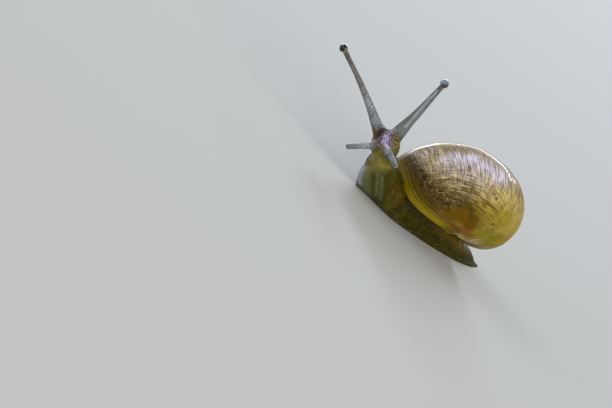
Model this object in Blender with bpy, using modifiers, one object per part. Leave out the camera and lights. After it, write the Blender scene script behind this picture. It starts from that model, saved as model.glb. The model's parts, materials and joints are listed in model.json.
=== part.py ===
"""A young garden snail (Cornu aspersum) as a still model, life size.

The head looks along -X, the animal's left is -Y, up is +Z and the origin is on the floor under the
middle of the flat sole. Sizes are in millimetres and become metres when a mesh is made.
"""

import bmesh
import bpy
import numpy as np

MM = 0.001
GAP = 0.3
FAR = 40.0

# The shell: a tube wound round an axis, larger by the same factor with each turn.
SHELL_UNIT = 5.78
TURN_GROWTH = 3.417
EARLY_GROWTH = 2.15
EASE_TURNS = (-0.55, -1.25)
TUBE_CENTRE_R = 0.99
TUBE_CENTRE_Z = 1.304
TUBE_HEIGHT_RATIO = 1.165
TUBE_TILT = -0.158
LIP_LEAN_DOWN = 0.48
LIP_LEAN_BACK = 0.282
UMBILICUS_R = 0.03
INNER_FULLNESS = -0.06
OUTER_FULLNESS = 0.05
NEAR_AXIS = 0.33
SPIRE_LIFT = 0.45
SPIRE_LIFT_TURNS = (-0.45, -0.85)
SHELL_TURNS = 3.3
LATE_TURNS = 1.15
NUCLEUS_R = 0.34
COLUMELLA = ((0.20, 0.04), (-0.45, 0.10), (-0.90, 0.15), (-1.30, 0.17))
RINGS_A_TURN = 34
EARLY_RINGS_A_TURN = 20
JOINT_SIZE = 0.985
ROOT_SIZE = 0.90
RING_POINTS = 42
NAVEL_TURNS = np.linspace(-0.62, -0.01, 14)
NAVEL_DEGREES = (225.0, 268.0)
NAVEL_WIDENS = 55.0
NAVEL_SUNK = 0.10
APEX = np.array([2.53, 2.36, 7.47])
SHELL_FRAME = np.array(
    [[-0.8028, -0.3172, 0.5049], [0.5880, -0.2802, 0.7588], [-0.0992, 0.9060, 0.4114]]
)
LIP_WALL = 0.50
LIP_WALL_INSIDE = 0.85
RECESS_DEGREES = 15.0
COLLAR_OUT = 0.45
COLLAR_EDGE = 0.45
BREATHING_HOLE = (0.55, 0.30, 0.9)

# The sole's middle line: x, y, z, half width of the sole, half width above it, height, twist.
SOLE = np.array(
    (
        (9.35, 0.0, 0.0, 0.22, 0.16, 0.18, 0.0),
        (9.0, 0.0, 0.0, 0.46, 0.34, 0.24, 0.0),
        (8.5, 0.0, 0.0, 0.82, 0.56, 0.32, 0.0),
        (7.9, 0.0, 0.0, 1.18, 0.84, 0.48, 0.0),
        (7.2, 0.0, 0.0, 1.55, 1.14, 0.92, 0.0),
        (6.5, 0.0, 0.0, 1.88, 1.42, 1.30, 0.0),
        (5.8, 0.0, 0.0, 2.18, 1.70, 1.55, 0.0),
        (3.8, 0.0, 0.0, 2.85, 2.35, 1.95, 0.0),
        (1.6, 0.0, 0.0, 3.30, 2.95, 3.00, 0.0),
        (-0.6, 0.0, 0.0, 3.60, 3.45, 3.90, 0.0),
        (-3.0, 0.0, 0.0, 3.70, 3.70, 4.60, 0.0),
        (-5.4, 0.0, 0.0, 3.62, 3.60, 4.95, 0.0),
        (-7.6, 0.0, 0.0, 3.40, 3.25, 4.90, 0.0),
        (-9.3, -0.02, 0.0, 3.15, 2.95, 4.70, 0.0),
        (-10.7, -0.10, 0.0, 2.95, 2.70, 4.55, 4.0),
        (-12.1, -0.30, 0.05, 2.80, 2.50, 4.40, 12.0),
        (-13.4, -0.62, 0.80, 2.50, 2.30, 3.90, 20.0),
        (-14.6, -1.02, 1.95, 2.30, 2.18, 3.50, 26.0),
        (-15.6, -1.45, 3.15, 2.25, 2.10, 3.25, 29.0),
        (-16.35, -1.88, 4.35, 2.15, 1.98, 2.95, 31.0),
        (-16.85, -2.15, 5.30, 1.70, 1.70, 2.60, 32.0),
    )
)
STATIONS = 60
FRINGE = 0.42
BELOW_FLOOR = 0.2
VOXEL = 0.16
SMOOTHING_STEPS = 8
FLESH_TRIANGLES = 6200
FEELER_STUB = 5
TAIL_CUT_X = 4.6
NECK_CUT_X = -9.6
HEAD_CUT_POINT = np.array([-15.9, -1.0, 5.25])
HEAD_CUT_NORMAL = np.array([-0.66, -0.25, 0.71])

# The head's own axes, and its rounded masses as left, up, forward from its centre with radii.
HEAD = np.array([-17.3, -0.5, 6.68])
HEAD_LEFT = np.array([0.663, -0.498, 0.550])
HEAD_UP = np.array([-0.393, 0.390, 0.827])
HEAD_FACE = np.array([-0.633, -0.771, 0.066])
HEAD_MASSES = (
    ("cranium", (0.0, 0.10, -0.35), (1.82, 2.10, 2.05)),
    ("brow", (0.0, 1.30, 0.00), (1.72, 0.95, 1.30)),
    ("snout", (-0.05, -1.10, 0.80), (1.35, 1.25, 1.20)),
    ("chin", (-0.05, -1.95, 0.25), (1.15, 0.75, 0.95)),
    ("mouth_lobe_left", (0.46, -1.30, 1.62), (0.56, 0.66, 0.46)),
    ("mouth_lobe_right", (-0.56, -1.30, 1.62), (0.56, 0.66, 0.46)),
    ("upper_lip", (-0.05, -0.58, 1.72), (0.72, 0.34, 0.38)),
)
MOUTH_CUTS = (
    ((-0.05, -1.35, 2.10), (0.07, 0.62, 0.42)),
    ((-0.05, -0.86, 2.10), (0.62, 0.06, 0.40)),
)

# Feelers: the line of each from inside the head to its tip, with the radius at each point.
UPPER_RIGHT = (
    ((-18.05, 0.70, 7.35), 0.98),
    ((-19.15, 1.50, 7.95), 0.72),
    ((-20.75, 2.50, 8.95), 0.54),
    ((-22.5, 3.58, 9.95), 0.42),
    ((-24.6, 4.90, 11.05), 0.34),
    ((-26.4, 6.10, 11.90), 0.32),
    ((-27.2, 6.65, 12.30), 0.34),
)
UPPER_LEFT = (
    ((-17.0, -0.20, 7.9), 1.02),
    ((-17.0, -0.15, 9.3), 0.84),
    ((-17.15, -0.30, 10.9), 0.64),
    ((-17.55, -0.70, 12.9), 0.52),
    ((-18.1, -1.15, 15.1), 0.40),
    ((-18.65, -1.62, 17.2), 0.33),
    ((-18.85, -1.80, 17.9), 0.34),
)
LOWER_RIGHT = (
    ((-18.2, -0.45, 6.3), 0.52),
    ((-19.1, -0.35, 5.75), 0.46),
    ((-20.25, -0.13, 4.88), 0.37),
    ((-21.28, 0.11, 4.02), 0.34),
)
LOWER_LEFT = (
    ((-18.0, -1.75, 6.7), 0.50),
    ((-18.15, -2.65, 6.85), 0.42),
    ((-17.92, -3.62, 6.70), 0.35),
    ((-17.57, -4.28, 6.46), 0.33),
)
FEELER_ROOT = 1.35
FEELER_ROOT_LOWER = 0.75
BULB_RADIUS = 0.55
LOWER_TIP_RADIUS = 0.37
EYE_CUT = 0.05

FLESH = (0.28, 0.22, 0.12)
PALE = (0.42, 0.42, 0.40)
HORN = (0.52, 0.40, 0.16)


def unit(vector):
    """The vector at length one."""
    return np.asarray(vector, float) / np.linalg.norm(vector)


def mesh_object(name, points, faces):
    """A mesh object from points in millimetres."""
    mesh = bpy.data.meshes.new(name)
    mesh.from_pydata([tuple(p) for p in np.asarray(points) * MM], [], faces)
    mesh.validate()
    obj = bpy.data.objects.new(name, mesh)
    bpy.context.collection.objects.link(obj)
    return obj


def loft(name, rings):
    """A closed body through rings of equal point counts, with a flat face at each end."""
    rings = np.asarray(rings, float)
    count, around = rings.shape[:2]
    faces = []
    for i in range(count - 1):
        for j in range(around):
            k = (j + 1) % around
            a = i * around
            b = a + around
            faces.append((a + j, a + k, b + k, b + j))
    start, end = count * around, count * around + 1
    last = (count - 1) * around
    for j in range(around):
        k = (j + 1) % around
        faces.append((start, k, j))
        faces.append((end, last + j, last + k))
    points = [rings.reshape(-1, 3), [rings[0].mean(axis=0)], [rings[-1].mean(axis=0)]]
    obj = mesh_object(name, np.concatenate(points), faces)
    face_out(obj)
    return obj


def signed_volume(obj):
    """Six times the volume inside the faces, negative when they face in."""
    mesh = obj.data
    mesh.calc_loop_triangles()
    total = 0.0
    for tri in mesh.loop_triangles:
        a, b, c = (mesh.vertices[i].co for i in tri.vertices)
        total += a.dot(b.cross(c))
    return total


def face_out(obj):
    """Turns the faces round when they face in."""
    if signed_volume(obj) < 0:
        obj.data.flip_normals()


def apply_modifiers(obj):
    """Turns the evaluated shape into the object's own mesh."""
    graph = bpy.context.evaluated_depsgraph_get()
    mesh = bpy.data.meshes.new_from_object(obj.evaluated_get(graph))
    obj.modifiers.clear()
    obj.data = mesh


def remove(objects):
    """Takes the helpers out of the scene."""
    for obj in list(objects):
        bpy.data.objects.remove(obj, do_unlink=True)


def largest_only(obj):
    """Keeps the closed surface with the most volume."""
    mesh = obj.data
    parent = list(range(len(mesh.vertices)))

    def root(i):
        while parent[i] != i:
            parent[i] = parent[parent[i]]
            i = parent[i]
        return i

    for edge in mesh.edges:
        a, b = (root(i) for i in edge.vertices)
        parent[a] = b
    mesh.calc_loop_triangles()
    volumes = {}
    for tri in mesh.loop_triangles:
        a, b, c = (mesh.vertices[i].co for i in tri.vertices)
        key = root(tri.vertices[0])
        volumes[key] = volumes.get(key, 0.0) + a.dot(b.cross(c))
    best = max(volumes, key=volumes.get)
    points = []
    index = {}
    for i, vertex in enumerate(mesh.vertices):
        if root(i) == best:
            index[i] = len(points)
            points.append(np.array(vertex.co))
    faces = [
        tuple(index[i] for i in face.vertices)
        for face in mesh.polygons
        if face.vertices[0] in index
    ]
    clean = bpy.data.meshes.new(obj.name)
    clean.from_pydata([tuple(p) for p in points], [], faces)
    obj.data = clean


def joined(name, pieces, solver="MANIFOLD"):
    """One body from closed pieces, by one union on their collection."""
    first, rest = pieces[0], pieces[1:]
    first.name = name
    if not rest:
        return first
    group = bpy.data.collections.new(name + "_pieces")
    bpy.context.scene.collection.children.link(group)
    for piece in rest:
        bpy.context.collection.objects.unlink(piece)
        group.objects.link(piece)
    union = first.modifiers.new("union", "BOOLEAN")
    union.operation = "UNION"
    union.operand_type = "COLLECTION"
    union.collection = group
    union.solver = solver
    apply_modifiers(first)
    remove(rest)
    bpy.data.collections.remove(group)
    largest_only(first)
    return first


def boolean(obj, cutter, operation="DIFFERENCE", solver="MANIFOLD"):
    """Cuts the object with one cutter, and applies the cut."""
    cut = obj.modifiers.new("cut", "BOOLEAN")
    cut.operation = operation
    cut.operand_type = "OBJECT"
    cut.object = cutter
    cut.solver = solver
    apply_modifiers(obj)


def copy_of(obj, name):
    """A copy with a mesh of its own."""
    copy = obj.copy()
    copy.data = obj.data.copy()
    copy.name = name
    bpy.context.collection.objects.link(copy)
    return copy


def half_space(name, point, normal, reach=FAR, width=FAR):
    """A block on the side of the plane that the normal points to."""
    n = unit(normal)
    side = unit(np.cross(n, (0.3, 0.9, 0.2)))
    other = np.cross(n, side)
    corners = []
    for depth in (0.0, reach):
        for a, b in ((-1, -1), (1, -1), (1, 1), (-1, 1)):
            corners.append(point + n * depth + width * (a * side + b * other))
    return loft(name, np.array(corners).reshape(2, 4, 3))


def ball(name, centre, axes, radii, around=24, along=14):
    """An ellipsoid with its radii along three axes."""
    bpy.ops.mesh.primitive_uv_sphere_add(segments=around, ring_count=along, radius=1.0)
    obj = bpy.context.object
    obj.name = name
    points = np.empty(len(obj.data.vertices) * 3)
    obj.data.vertices.foreach_get("co", points)
    frame = np.array(axes) * np.array(radii)[:, None]
    placed = points.reshape(-1, 3) @ frame + np.asarray(centre)
    obj.data.vertices.foreach_set("co", (placed * MM).ravel())
    obj.data.update()
    face_out(obj)
    return obj


def smooth_rows(rows, count):
    """Rows resampled along a smooth curve through all of them."""
    rows = np.asarray(rows, float)
    steps = np.linalg.norm(np.diff(rows[:, :3], axis=0), axis=1)
    at = np.concatenate([[0.0], np.cumsum(steps)])
    slope = np.gradient(rows, at, axis=0)
    wanted = np.linspace(0.0, at[-1], count)
    i = np.clip(np.searchsorted(at, wanted, side="right") - 1, 0, len(at) - 2)
    span = (at[i + 1] - at[i])[:, None]
    t = ((wanted - at[i])[:, None]) / span
    return (
        (2 * t**3 - 3 * t**2 + 1) * rows[i]
        + (t**3 - 2 * t**2 + t) * span * slope[i]
        + (3 * t**2 - 2 * t**3) * rows[i + 1]
        + (t**3 - t**2) * span * slope[i + 1]
    )


def tube_section():
    """The tube's section at unit size, out from the axis and up along it."""
    around = np.linspace(0.0, 2 * np.pi, RING_POINTS, endpoint=False)
    fullness = np.where(np.cos(around) < 0, INNER_FULLNESS, OUTER_FULLNESS)
    fuller = 1.0 + np.where(np.sin(around) < 0, fullness * np.sin(2 * around) ** 2, 0.0)
    out, up = fuller * np.cos(around), fuller * TUBE_HEIGHT_RATIO * np.sin(around)
    c, s = np.cos(TUBE_TILT), np.sin(TUBE_TILT)
    return out * c - up * s, out * s + up * c


def lip_normal():
    """The direction in which the lip's plane faces, in the shell's own axes."""
    down, back = LIP_LEAN_DOWN, LIP_LEAN_BACK
    return np.array(
        [np.sin(back) * np.cos(down), -np.cos(back) * np.cos(down), -np.sin(down)]
    )


def shell_size(turns):
    """The tube's size at a turn, 1 at the lip; the early whorls grew more slowly."""
    start, end = EASE_TURNS
    back = np.clip(start - turns, 0.0, None)
    span = start - end
    eased = np.where(back < span, back**2 / (2 * span), back - span / 2)
    late, early = np.log(TURN_GROWTH), np.log(EARLY_GROWTH)
    return np.exp(late * turns + (late - early) * eased)


def growth_line_turns():
    """How far each point of a ring turns about the axis so that the ring lies in a plane."""
    out, up = tube_section()
    n = lip_normal()

    def height(turn):
        size = shell_size(turn / (2 * np.pi))
        x = size * (TUBE_CENTRE_R + out) * np.cos(turn) - TUBE_CENTRE_R
        y = -size * (TUBE_CENTRE_R + out) * np.sin(turn)
        z = size * (up - TUBE_CENTRE_Z) + TUBE_CENTRE_Z
        return x * n[0] + y * n[1] + z * n[2]

    turns = np.zeros(RING_POINTS)
    for _ in range(60):
        here = height(turns)
        slope = (height(turns + 1e-5) - here) / 1e-5
        slope = np.where(np.abs(slope) < 0.05, 0.05 * np.sign(slope + 1e-12), slope)
        turns = np.clip(turns - np.clip(here / slope, -0.2, 0.2), -1.4, 1.4)
    near = TUBE_CENTRE_R + out < NEAR_AXIS
    steps = np.arange(RING_POINTS)
    return np.where(near, np.interp(steps, steps[~near], turns[~near]), turns)


def spire_lift(turns):
    """How much an early whorl is raised, in shell units."""
    start, end = SPIRE_LIFT_TURNS
    t = np.clip((turns - start) / (end - start), 0.0, 1.0)
    risen = 1 - shell_size(turns) / shell_size(start)
    return SPIRE_LIFT * risen * t * t * (3 - 2 * t)


def shell_ring(turn, grow=0.0, inner=1.0):
    """One growth line as points in the world; turn 0 is the lip and -1 is a whorl before it."""
    out, up = tube_section()
    angle = 2 * np.pi * turn + growth_line_turns_cached()
    size = shell_size(angle / (2 * np.pi))
    swell = inner + grow / (size * SHELL_UNIT)
    radius = size * (TUBE_CENTRE_R + out * swell)
    radius = np.maximum(radius, UMBILICUS_R * size)
    z = size * (up * swell - TUBE_CENTRE_Z) + spire_lift(angle / (2 * np.pi))
    local = np.stack([radius * np.cos(angle), -radius * np.sin(angle), z], axis=1)
    return APEX + SHELL_UNIT * local @ SHELL_FRAME.T


CACHE = {}


def growth_line_turns_cached():
    """The turns of growth_line_turns, worked out once."""
    if "turns" not in CACHE:
        CACHE["turns"] = growth_line_turns()
    return CACHE["turns"]


def whorls(name, edges, grow=0.0):
    """The shell's tube between these turns, as closed pieces whose ends taper inside each other."""
    made = []
    half = 0.5 / RINGS_A_TURN
    for i, (first, last) in enumerate(zip(edges[:-1], edges[1:])):
        early = last < -LATE_TURNS + half
        opens = i > 0
        goes_on = i < len(edges) - 2
        start = first + half * opens
        end = last - half * goes_on
        rate = EARLY_RINGS_A_TURN if early else RINGS_A_TURN
        count = max(6, int(round((end - start) * rate)) + 1)
        rings = [shell_ring(turn, grow) for turn in np.linspace(start, end, count)]
        if opens:
            rings.insert(0, shell_ring(first - half, grow, JOINT_SIZE))
            rings.insert(0, shell_ring(first - 3 * half, grow, ROOT_SIZE))
        if goes_on:
            rings.append(shell_ring(last + half, grow, JOINT_SIZE))
            rings.append(shell_ring(last + 3 * half, grow, ROOT_SIZE))
        step = 2 if early else 1
        made.append(loft(f"{name}_{i}", [ring[::step] for ring in rings]))
    return made


def plug(name, wall, depth_degrees, out, edge=0.0):
    """The space inside the lip: growth lines drawn in by a wall, and carried out past the lip."""
    normal = SHELL_FRAME @ lip_normal()
    rings = []
    for share in (1.0, 0.66, 0.33, 0.0):
        ring = shell_ring(-depth_degrees / 360.0 * share)
        centre = ring.mean(axis=0)
        drawn_in = wall + (LIP_WALL_INSIDE - LIP_WALL) * share
        reach = np.linalg.norm(ring - centre, axis=1).mean()
        rings.append(centre + (ring - centre) * (1 - drawn_in / reach))
    lip = rings[-1]
    centre = lip.mean(axis=0)
    reach = np.linalg.norm(lip - centre, axis=1).mean()
    if edge:
        rings.append(lip + normal * (out - edge))
        rings.append(centre + (lip - centre) * (1 - 0.35 * edge / reach) + normal * (out - 0.3 * edge))
        rings.append(centre + (lip - centre) * (1 - edge / reach) + normal * out)
    else:
        rings.append(lip + normal * out)
    return loft(name, rings)


def section(sole, body, height):
    """A section of the body: flat sole, thin fringe, groove above it, then the rounded side."""
    fringe = min(FRINGE, 0.30 * height)
    half = np.array(
        (
            (0.0, -BELOW_FLOOR),
            (0.45 * sole, -BELOW_FLOOR),
            (0.80 * sole, -BELOW_FLOOR),
            (0.96 * sole, -BELOW_FLOOR),
            (sole, 0.35 * fringe),
            (0.985 * sole, 0.80 * fringe),
            (0.93 * sole, 1.05 * fringe),
            (0.5 * (0.90 * sole + body), 0.22 * height + 0.5 * fringe),
            (0.99 * body, 0.42 * height),
            (0.97 * body, 0.56 * height),
            (0.88 * body, 0.71 * height),
            (0.70 * body, 0.85 * height),
            (0.40 * body, 0.955 * height),
            (0.0, height),
        )
    )
    other = half[-2:0:-1] * np.array((-1.0, 1.0))
    return np.concatenate([half, other])


def body_rings():
    """The body's sections from the tail's tip to inside the head."""
    rows = smooth_rows(SOLE, STATIONS)
    middle = rows[:, :3].copy()
    middle[:, 2] = np.maximum(middle[:, 2], 0.0)
    tangent = np.gradient(middle, axis=0)
    rings = []
    for at, along, row in zip(middle, tangent, rows):
        along = unit(along)
        left = unit(np.cross((0.0, 0.0, 1.0), along))
        back = np.cross(along, left)
        twist = np.radians(row[6])
        turned = np.cos(twist) * left + np.sin(twist) * back
        raised = np.cross(along, turned)
        flat = section(row[3], row[4], row[5])
        ring = at + flat[:, :1] * turned + flat[:, 1:] * raised
        ring[:, 2] = np.maximum(ring[:, 2], -BELOW_FLOOR)
        rings.append(ring)
    return rings


def head_point(place):
    """A point given as left, up and forward from the head's centre."""
    return HEAD + place[0] * HEAD_LEFT + place[1] * HEAD_UP + place[2] * HEAD_FACE


def head_masses():
    """The rounded masses of the head."""
    axes = (HEAD_LEFT, HEAD_UP, HEAD_FACE)
    return [ball(name, head_point(at), axes, radii) for name, at, radii in HEAD_MASSES]


def feeler(name, line, tip_radius, stations=15):
    """A tapering tube through the points, with a rounded tip where it is drawn to its end."""
    rows = smooth_rows([(*p, r) for p, r in line], 15)[:stations]
    tangent = np.gradient(rows[:, :3], axis=0)
    around = np.linspace(0.0, 2 * np.pi, 16, endpoint=False)
    side = unit(np.cross(tangent[0], (0.2, 0.3, 0.9)))
    rings = []
    for row, along in zip(rows, tangent):
        along = unit(along)
        side = unit(side - along * side.dot(along))
        other = np.cross(along, side)
        circle = np.outer(np.cos(around), side) + np.outer(np.sin(around), other)
        rings.append(row[:3] + row[3] * circle)
    pieces = [loft(name, rings)]
    if stations == 15:
        frame = (side, other, along)
        pieces.append(ball(name + "_tip", rows[-1, :3], frame, (tip_radius,) * 3, 16, 10))
    return pieces


def line_of(line):
    """Start and direction of a feeler's first stretch."""
    start, second = np.array(line[0][0]), np.array(line[1][0])
    return start, unit(second - start)


def end_of(line):
    """Tip and direction of a feeler's last stretch."""
    last, before = np.array(line[-1][0]), np.array(line[-2][0])
    return last, unit(last - before)


def material(name, colour, roughness):
    """A plain material for one node."""
    made = bpy.data.materials.new(name)
    made.use_nodes = True
    shader = made.node_tree.nodes["Principled BSDF"]
    shader.inputs["Base Color"].default_value = (*colour, 1.0)
    shader.inputs["Roughness"].default_value = roughness
    return made


def finish(obj, name, colour, roughness=0.4):
    """Names the node, gives it its material and keeps one closed surface."""
    largest_only(obj)
    obj.name = name
    obj.data.name = name
    obj.data.materials.clear()
    obj.data.materials.append(material(name + "_material", colour, roughness))
    return obj


def columella():
    """The solid pillar round the shell's axis."""
    around = np.linspace(0.0, 2 * np.pi, 16, endpoint=False)
    rings = []
    for z, radius in COLUMELLA:
        x, y = radius * np.cos(around), radius * np.sin(around)
        local = np.stack([x, y, np.full_like(x, z)], axis=1)
        rings.append(APEX + SHELL_UNIT * local @ SHELL_FRAME.T)
    return loft("columella", rings)


def navel_cover(grow=0.0):
    """The reflected lip that closes the shell's navel: the tight skin over the last whorl's base there."""
    around = np.linspace(0.0, 360.0, RING_POINTS, endpoint=False)
    low, high = NAVEL_DEGREES
    points = []
    for turn in NAVEL_TURNS:
        near = (around > low) & (around < high - NAVEL_WIDENS * turn)
        points.extend(shell_ring(turn, -NAVEL_SUNK)[near])
    points = np.array(points)
    if grow:
        ways = np.array([[x, y, z] for x in (-1, 0, 1) for y in (-1, 0, 1) for z in (-1, 0, 1)], float)
        ways = np.array([unit(way) for way in ways if way.any()])
        points = (points[:, None, :] + grow * ways[None, :, :]).reshape(-1, 3)
    solid = bmesh.new()
    for point in points:
        solid.verts.new(point)
    hull = bmesh.ops.convex_hull(solid, input=solid.verts)
    inside = [item for item in hull["geom_interior"] if isinstance(item, bmesh.types.BMVert)]
    bmesh.ops.delete(solid, geom=inside, context="VERTS")
    bmesh.ops.triangulate(solid, faces=solid.faces)
    solid.verts.index_update()
    corners = np.array([vertex.co[:] for vertex in solid.verts])
    faces = [tuple(vertex.index for vertex in face.verts) for face in solid.faces]
    solid.free()
    obj = mesh_object("navel_cover", corners, faces)
    face_out(obj)
    return obj


def make_shell():
    """The shell with the recess inside its lip, and the mantle's collar that fills the recess."""
    edges = (-SHELL_TURNS, -2.6, -1.85, -LATE_TURNS, -0.6, 0.0)
    pieces = whorls("whorl", edges)
    nucleus = shell_ring(-SHELL_TURNS).mean(axis=0)
    pieces.append(ball("nucleus", nucleus, SHELL_FRAME.T, (NUCLEUS_R,) * 3, 20, 12))
    pieces.append(columella())
    pieces.append(navel_cover())
    shell = joined("shell", pieces)
    earlier = joined("earlier", whorls("earlier", (-1.45, -1.0, -0.5)))
    recess = plug("recess", LIP_WALL, RECESS_DEGREES, 1.2)
    boolean(recess, earlier)
    boolean(shell, recess)
    finish(shell, "shell", HORN, 0.3)
    grown = joined("grown", [*whorls("grown", (-1.45, -1.0, -0.45), GAP), navel_cover(GAP)])
    collar = plug(
        "collar", LIP_WALL + GAP, RECESS_DEGREES - 3.2, COLLAR_OUT, COLLAR_EDGE
    )
    boolean(collar, grown)
    centre = shell_ring(0.0).mean(axis=0)
    right = centre + np.array([-2.2, 3.9, -0.2])
    wide, narrow, deep = BREATHING_HOLE
    normal = SHELL_FRAME @ lip_normal()
    along = unit(np.cross(normal, (0.0, 1.0, 0.0)))
    across = np.cross(normal, along)
    hole = ball("hole", right, (along, across, normal), (wide, narrow, deep), 20, 12)
    boolean(collar, hole)
    finish(collar, "mantle_collar", (0.38, 0.24, 0.07))
    remove([recess, earlier, grown, hole])
    return shell, collar


def soften(obj):
    """Makes the joins between the masses flow into each other, and keeps a few large faces."""
    remesh = obj.modifiers.new("remesh", "REMESH")
    remesh.mode = "VOXEL"
    remesh.voxel_size = VOXEL * MM
    smooth = obj.modifiers.new("smooth", "SMOOTH")
    smooth.iterations = SMOOTHING_STEPS
    apply_modifiers(obj)
    obj.data.calc_loop_triangles()
    coarse = obj.modifiers.new("coarse", "DECIMATE")
    coarse.ratio = FLESH_TRIANGLES / len(obj.data.loop_triangles)
    apply_modifiers(obj)


def make_flesh():
    """All the flesh outside the shell as one body, before it is parted."""
    feelers = (
        ("upper_right", UPPER_RIGHT, BULB_RADIUS),
        ("upper_left", UPPER_LEFT, BULB_RADIUS),
        ("lower_right", LOWER_RIGHT, LOWER_TIP_RADIUS),
        ("lower_left", LOWER_LEFT, LOWER_TIP_RADIUS),
    )
    pieces = [loft("body", body_rings()), *head_masses()]
    for name, line, _ in feelers:
        pieces.extend(feeler(name, line, LOWER_TIP_RADIUS, FEELER_STUB))
    masses = joined("masses", pieces)
    soften(masses)
    tubes = []
    for name, line, tip in feelers:
        tubes.extend(feeler(name, line, tip))
    flesh = joined("flesh", [masses, *tubes])
    floor = half_space("floor", np.zeros(3), (0, 0, 1))
    boolean(flesh, floor, "INTERSECT")
    remove([floor])
    return flesh


def make_eye(name, line):
    """The dark round end of an upper feeler, with a flat face towards the stalk."""
    tip, onward = end_of(line)
    side = unit(np.cross(onward, (0.1, 0.2, 1.0)))
    frame = (side, np.cross(onward, side), onward)
    eye = ball(name, tip, frame, (BULB_RADIUS,) * 3, 20, 12)
    kept = half_space("kept", tip + onward * EYE_CUT, onward)
    boolean(eye, kept, "INTERSECT")
    remove([kept])
    finish(eye, name, (0.02, 0.02, 0.03), 0.15)


def make_feelers(flesh):
    """The four feelers and the two eyes. Returns the blocks that clear the head of them."""
    roots = []
    for name, line, root, reach in (
        ("tentacle_upper_right", UPPER_RIGHT, FEELER_ROOT, 1.15),
        ("tentacle_upper_left", UPPER_LEFT, FEELER_ROOT, 1.15),
        ("tentacle_lower_right", LOWER_RIGHT, FEELER_ROOT_LOWER, 0.62),
        ("tentacle_lower_left", LOWER_LEFT, FEELER_ROOT_LOWER, 0.62),
    ):
        piece = copy_of(flesh, name)
        region = region_of(line, root + GAP, reach)
        boolean(piece, region, "INTERSECT")
        remove([region])
        if name.startswith("tentacle_upper"):
            tip, onward = end_of(line)
            past = half_space("past", tip + onward * (EYE_CUT - GAP), onward)
            boolean(piece, past)
            remove([past])
            make_eye(name.replace("tentacle_upper", "eye"), line)
        finish(piece, name, PALE)
        roots.append(region_of(line, root, reach + 0.12))
    return roots


def region_of(line, root, reach):
    """A tapering block round a feeler, from its root outwards."""
    rows = smooth_rows([(*p, r) for p, r in line], 15)
    steps = np.linalg.norm(np.diff(rows[:, :3], axis=0), axis=1)
    at = np.concatenate([[0.0], np.cumsum(steps)])
    wanted = np.concatenate([[root], np.linspace(root, at[-1], 9)[1:]])
    centres = np.stack([np.interp(wanted, at, rows[:, k]) for k in range(3)], axis=1)
    tangent = np.gradient(centres, axis=0)
    tangent[0] = line_of(line)[1]
    centres = np.concatenate([centres, centres[-1:] + 2.0 * unit(tangent[-1])])
    tangent = np.concatenate([tangent, tangent[-1:]])
    around = np.linspace(0.0, 2 * np.pi, 16, endpoint=False)
    side = unit(np.cross(tangent[0], (0.2, 0.3, 0.9)))
    rings = []
    for centre, along in zip(centres, tangent):
        along = unit(along)
        side = unit(side - along * side.dot(along))
        other = np.cross(along, side)
        circle = np.outer(np.cos(around), side) + np.outer(np.sin(around), other)
        rings.append(centre + reach * circle)
    return loft("region_keep", rings)


def make_nodes():
    """Builds every node of the snail."""
    make_shell()
    flesh = make_flesh()
    roots = make_feelers(flesh)
    for cutter in roots:
        boolean(flesh, cutter)
    remove(roots)
    normal = SHELL_FRAME @ lip_normal()
    lip_centre = shell_ring(0.0).mean(axis=0)
    under = lip_centre + normal * (COLLAR_OUT + GAP)
    above = half_space("above", under, -normal, 9.0, 30.0)
    behind = half_space("behind", np.array([-11.4, 0.0, 0.0]), (1, 0, 0))
    boolean(above, behind, "INTERSECT")
    remove([behind])
    grown = [*whorls("around_shell", (-1.1, -0.6, 0.0), GAP), navel_cover(GAP)]
    grown.append(plug("around_collar", LIP_WALL, RECESS_DEGREES, COLLAR_OUT + GAP))
    around_shell = joined("around_shell", grown)
    for mouth_at, radii in MOUTH_CUTS:
        axes = (HEAD_LEFT, HEAD_UP, HEAD_FACE)
        slit = ball("slit", head_point(mouth_at), axes, radii, 16, 10)
        boolean(flesh, slit)
        remove([slit])
    parts = (
        ("tail", FLESH, ((TAIL_CUT_X + GAP / 2, (1, 0, 0)),)),
        ("foot", FLESH, ((TAIL_CUT_X - GAP / 2, (-1, 0, 0)), (NECK_CUT_X + GAP / 2, (1, 0, 0)))),
        ("neck", FLESH, ((NECK_CUT_X - GAP / 2, (-1, 0, 0)),)),
    )
    ahead = unit(HEAD_CUT_NORMAL)
    for name, colour, planes in parts:
        piece = copy_of(flesh, name)
        for x, way in planes:
            keep = half_space("keep", np.array([x, 0.0, 0.0]), way)
            boolean(piece, keep, "INTERSECT")
            remove([keep])
        if name != "tail":
            boolean(piece, above)
        boolean(piece, around_shell)
        if name == "neck":
            keep = half_space("keep", HEAD_CUT_POINT - ahead * GAP / 2, -ahead)
            boolean(piece, keep, "INTERSECT")
            remove([keep])
        finish(piece, name, colour)
    keep = half_space("keep", HEAD_CUT_POINT + ahead * GAP / 2, ahead)
    boolean(flesh, keep, "INTERSECT")
    remove([keep])
    finish(flesh, "head", (0.34, 0.30, 0.14))
    remove([above, around_shell])


def main():
    """Clears the scene and builds the snail."""
    for obj in list(bpy.data.objects):
        bpy.data.objects.remove(obj, do_unlink=True)
    make_nodes()


main()
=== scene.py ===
"""The finished surfaces of a young garden snail (Cornu aspersum) at life size, with its light and camera.

Lengths inside the classes are in millimetres and become metres when a mesh is made. The head looks along -X,
the animal's left is -Y, up is +Z, and the origin is on the floor under the middle of the sole.
"""

from __future__ import annotations

import json
import logging
from dataclasses import dataclass, field
from enum import Enum

import bmesh
import bpy
import numpy as np
from mathutils import Matrix

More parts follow.
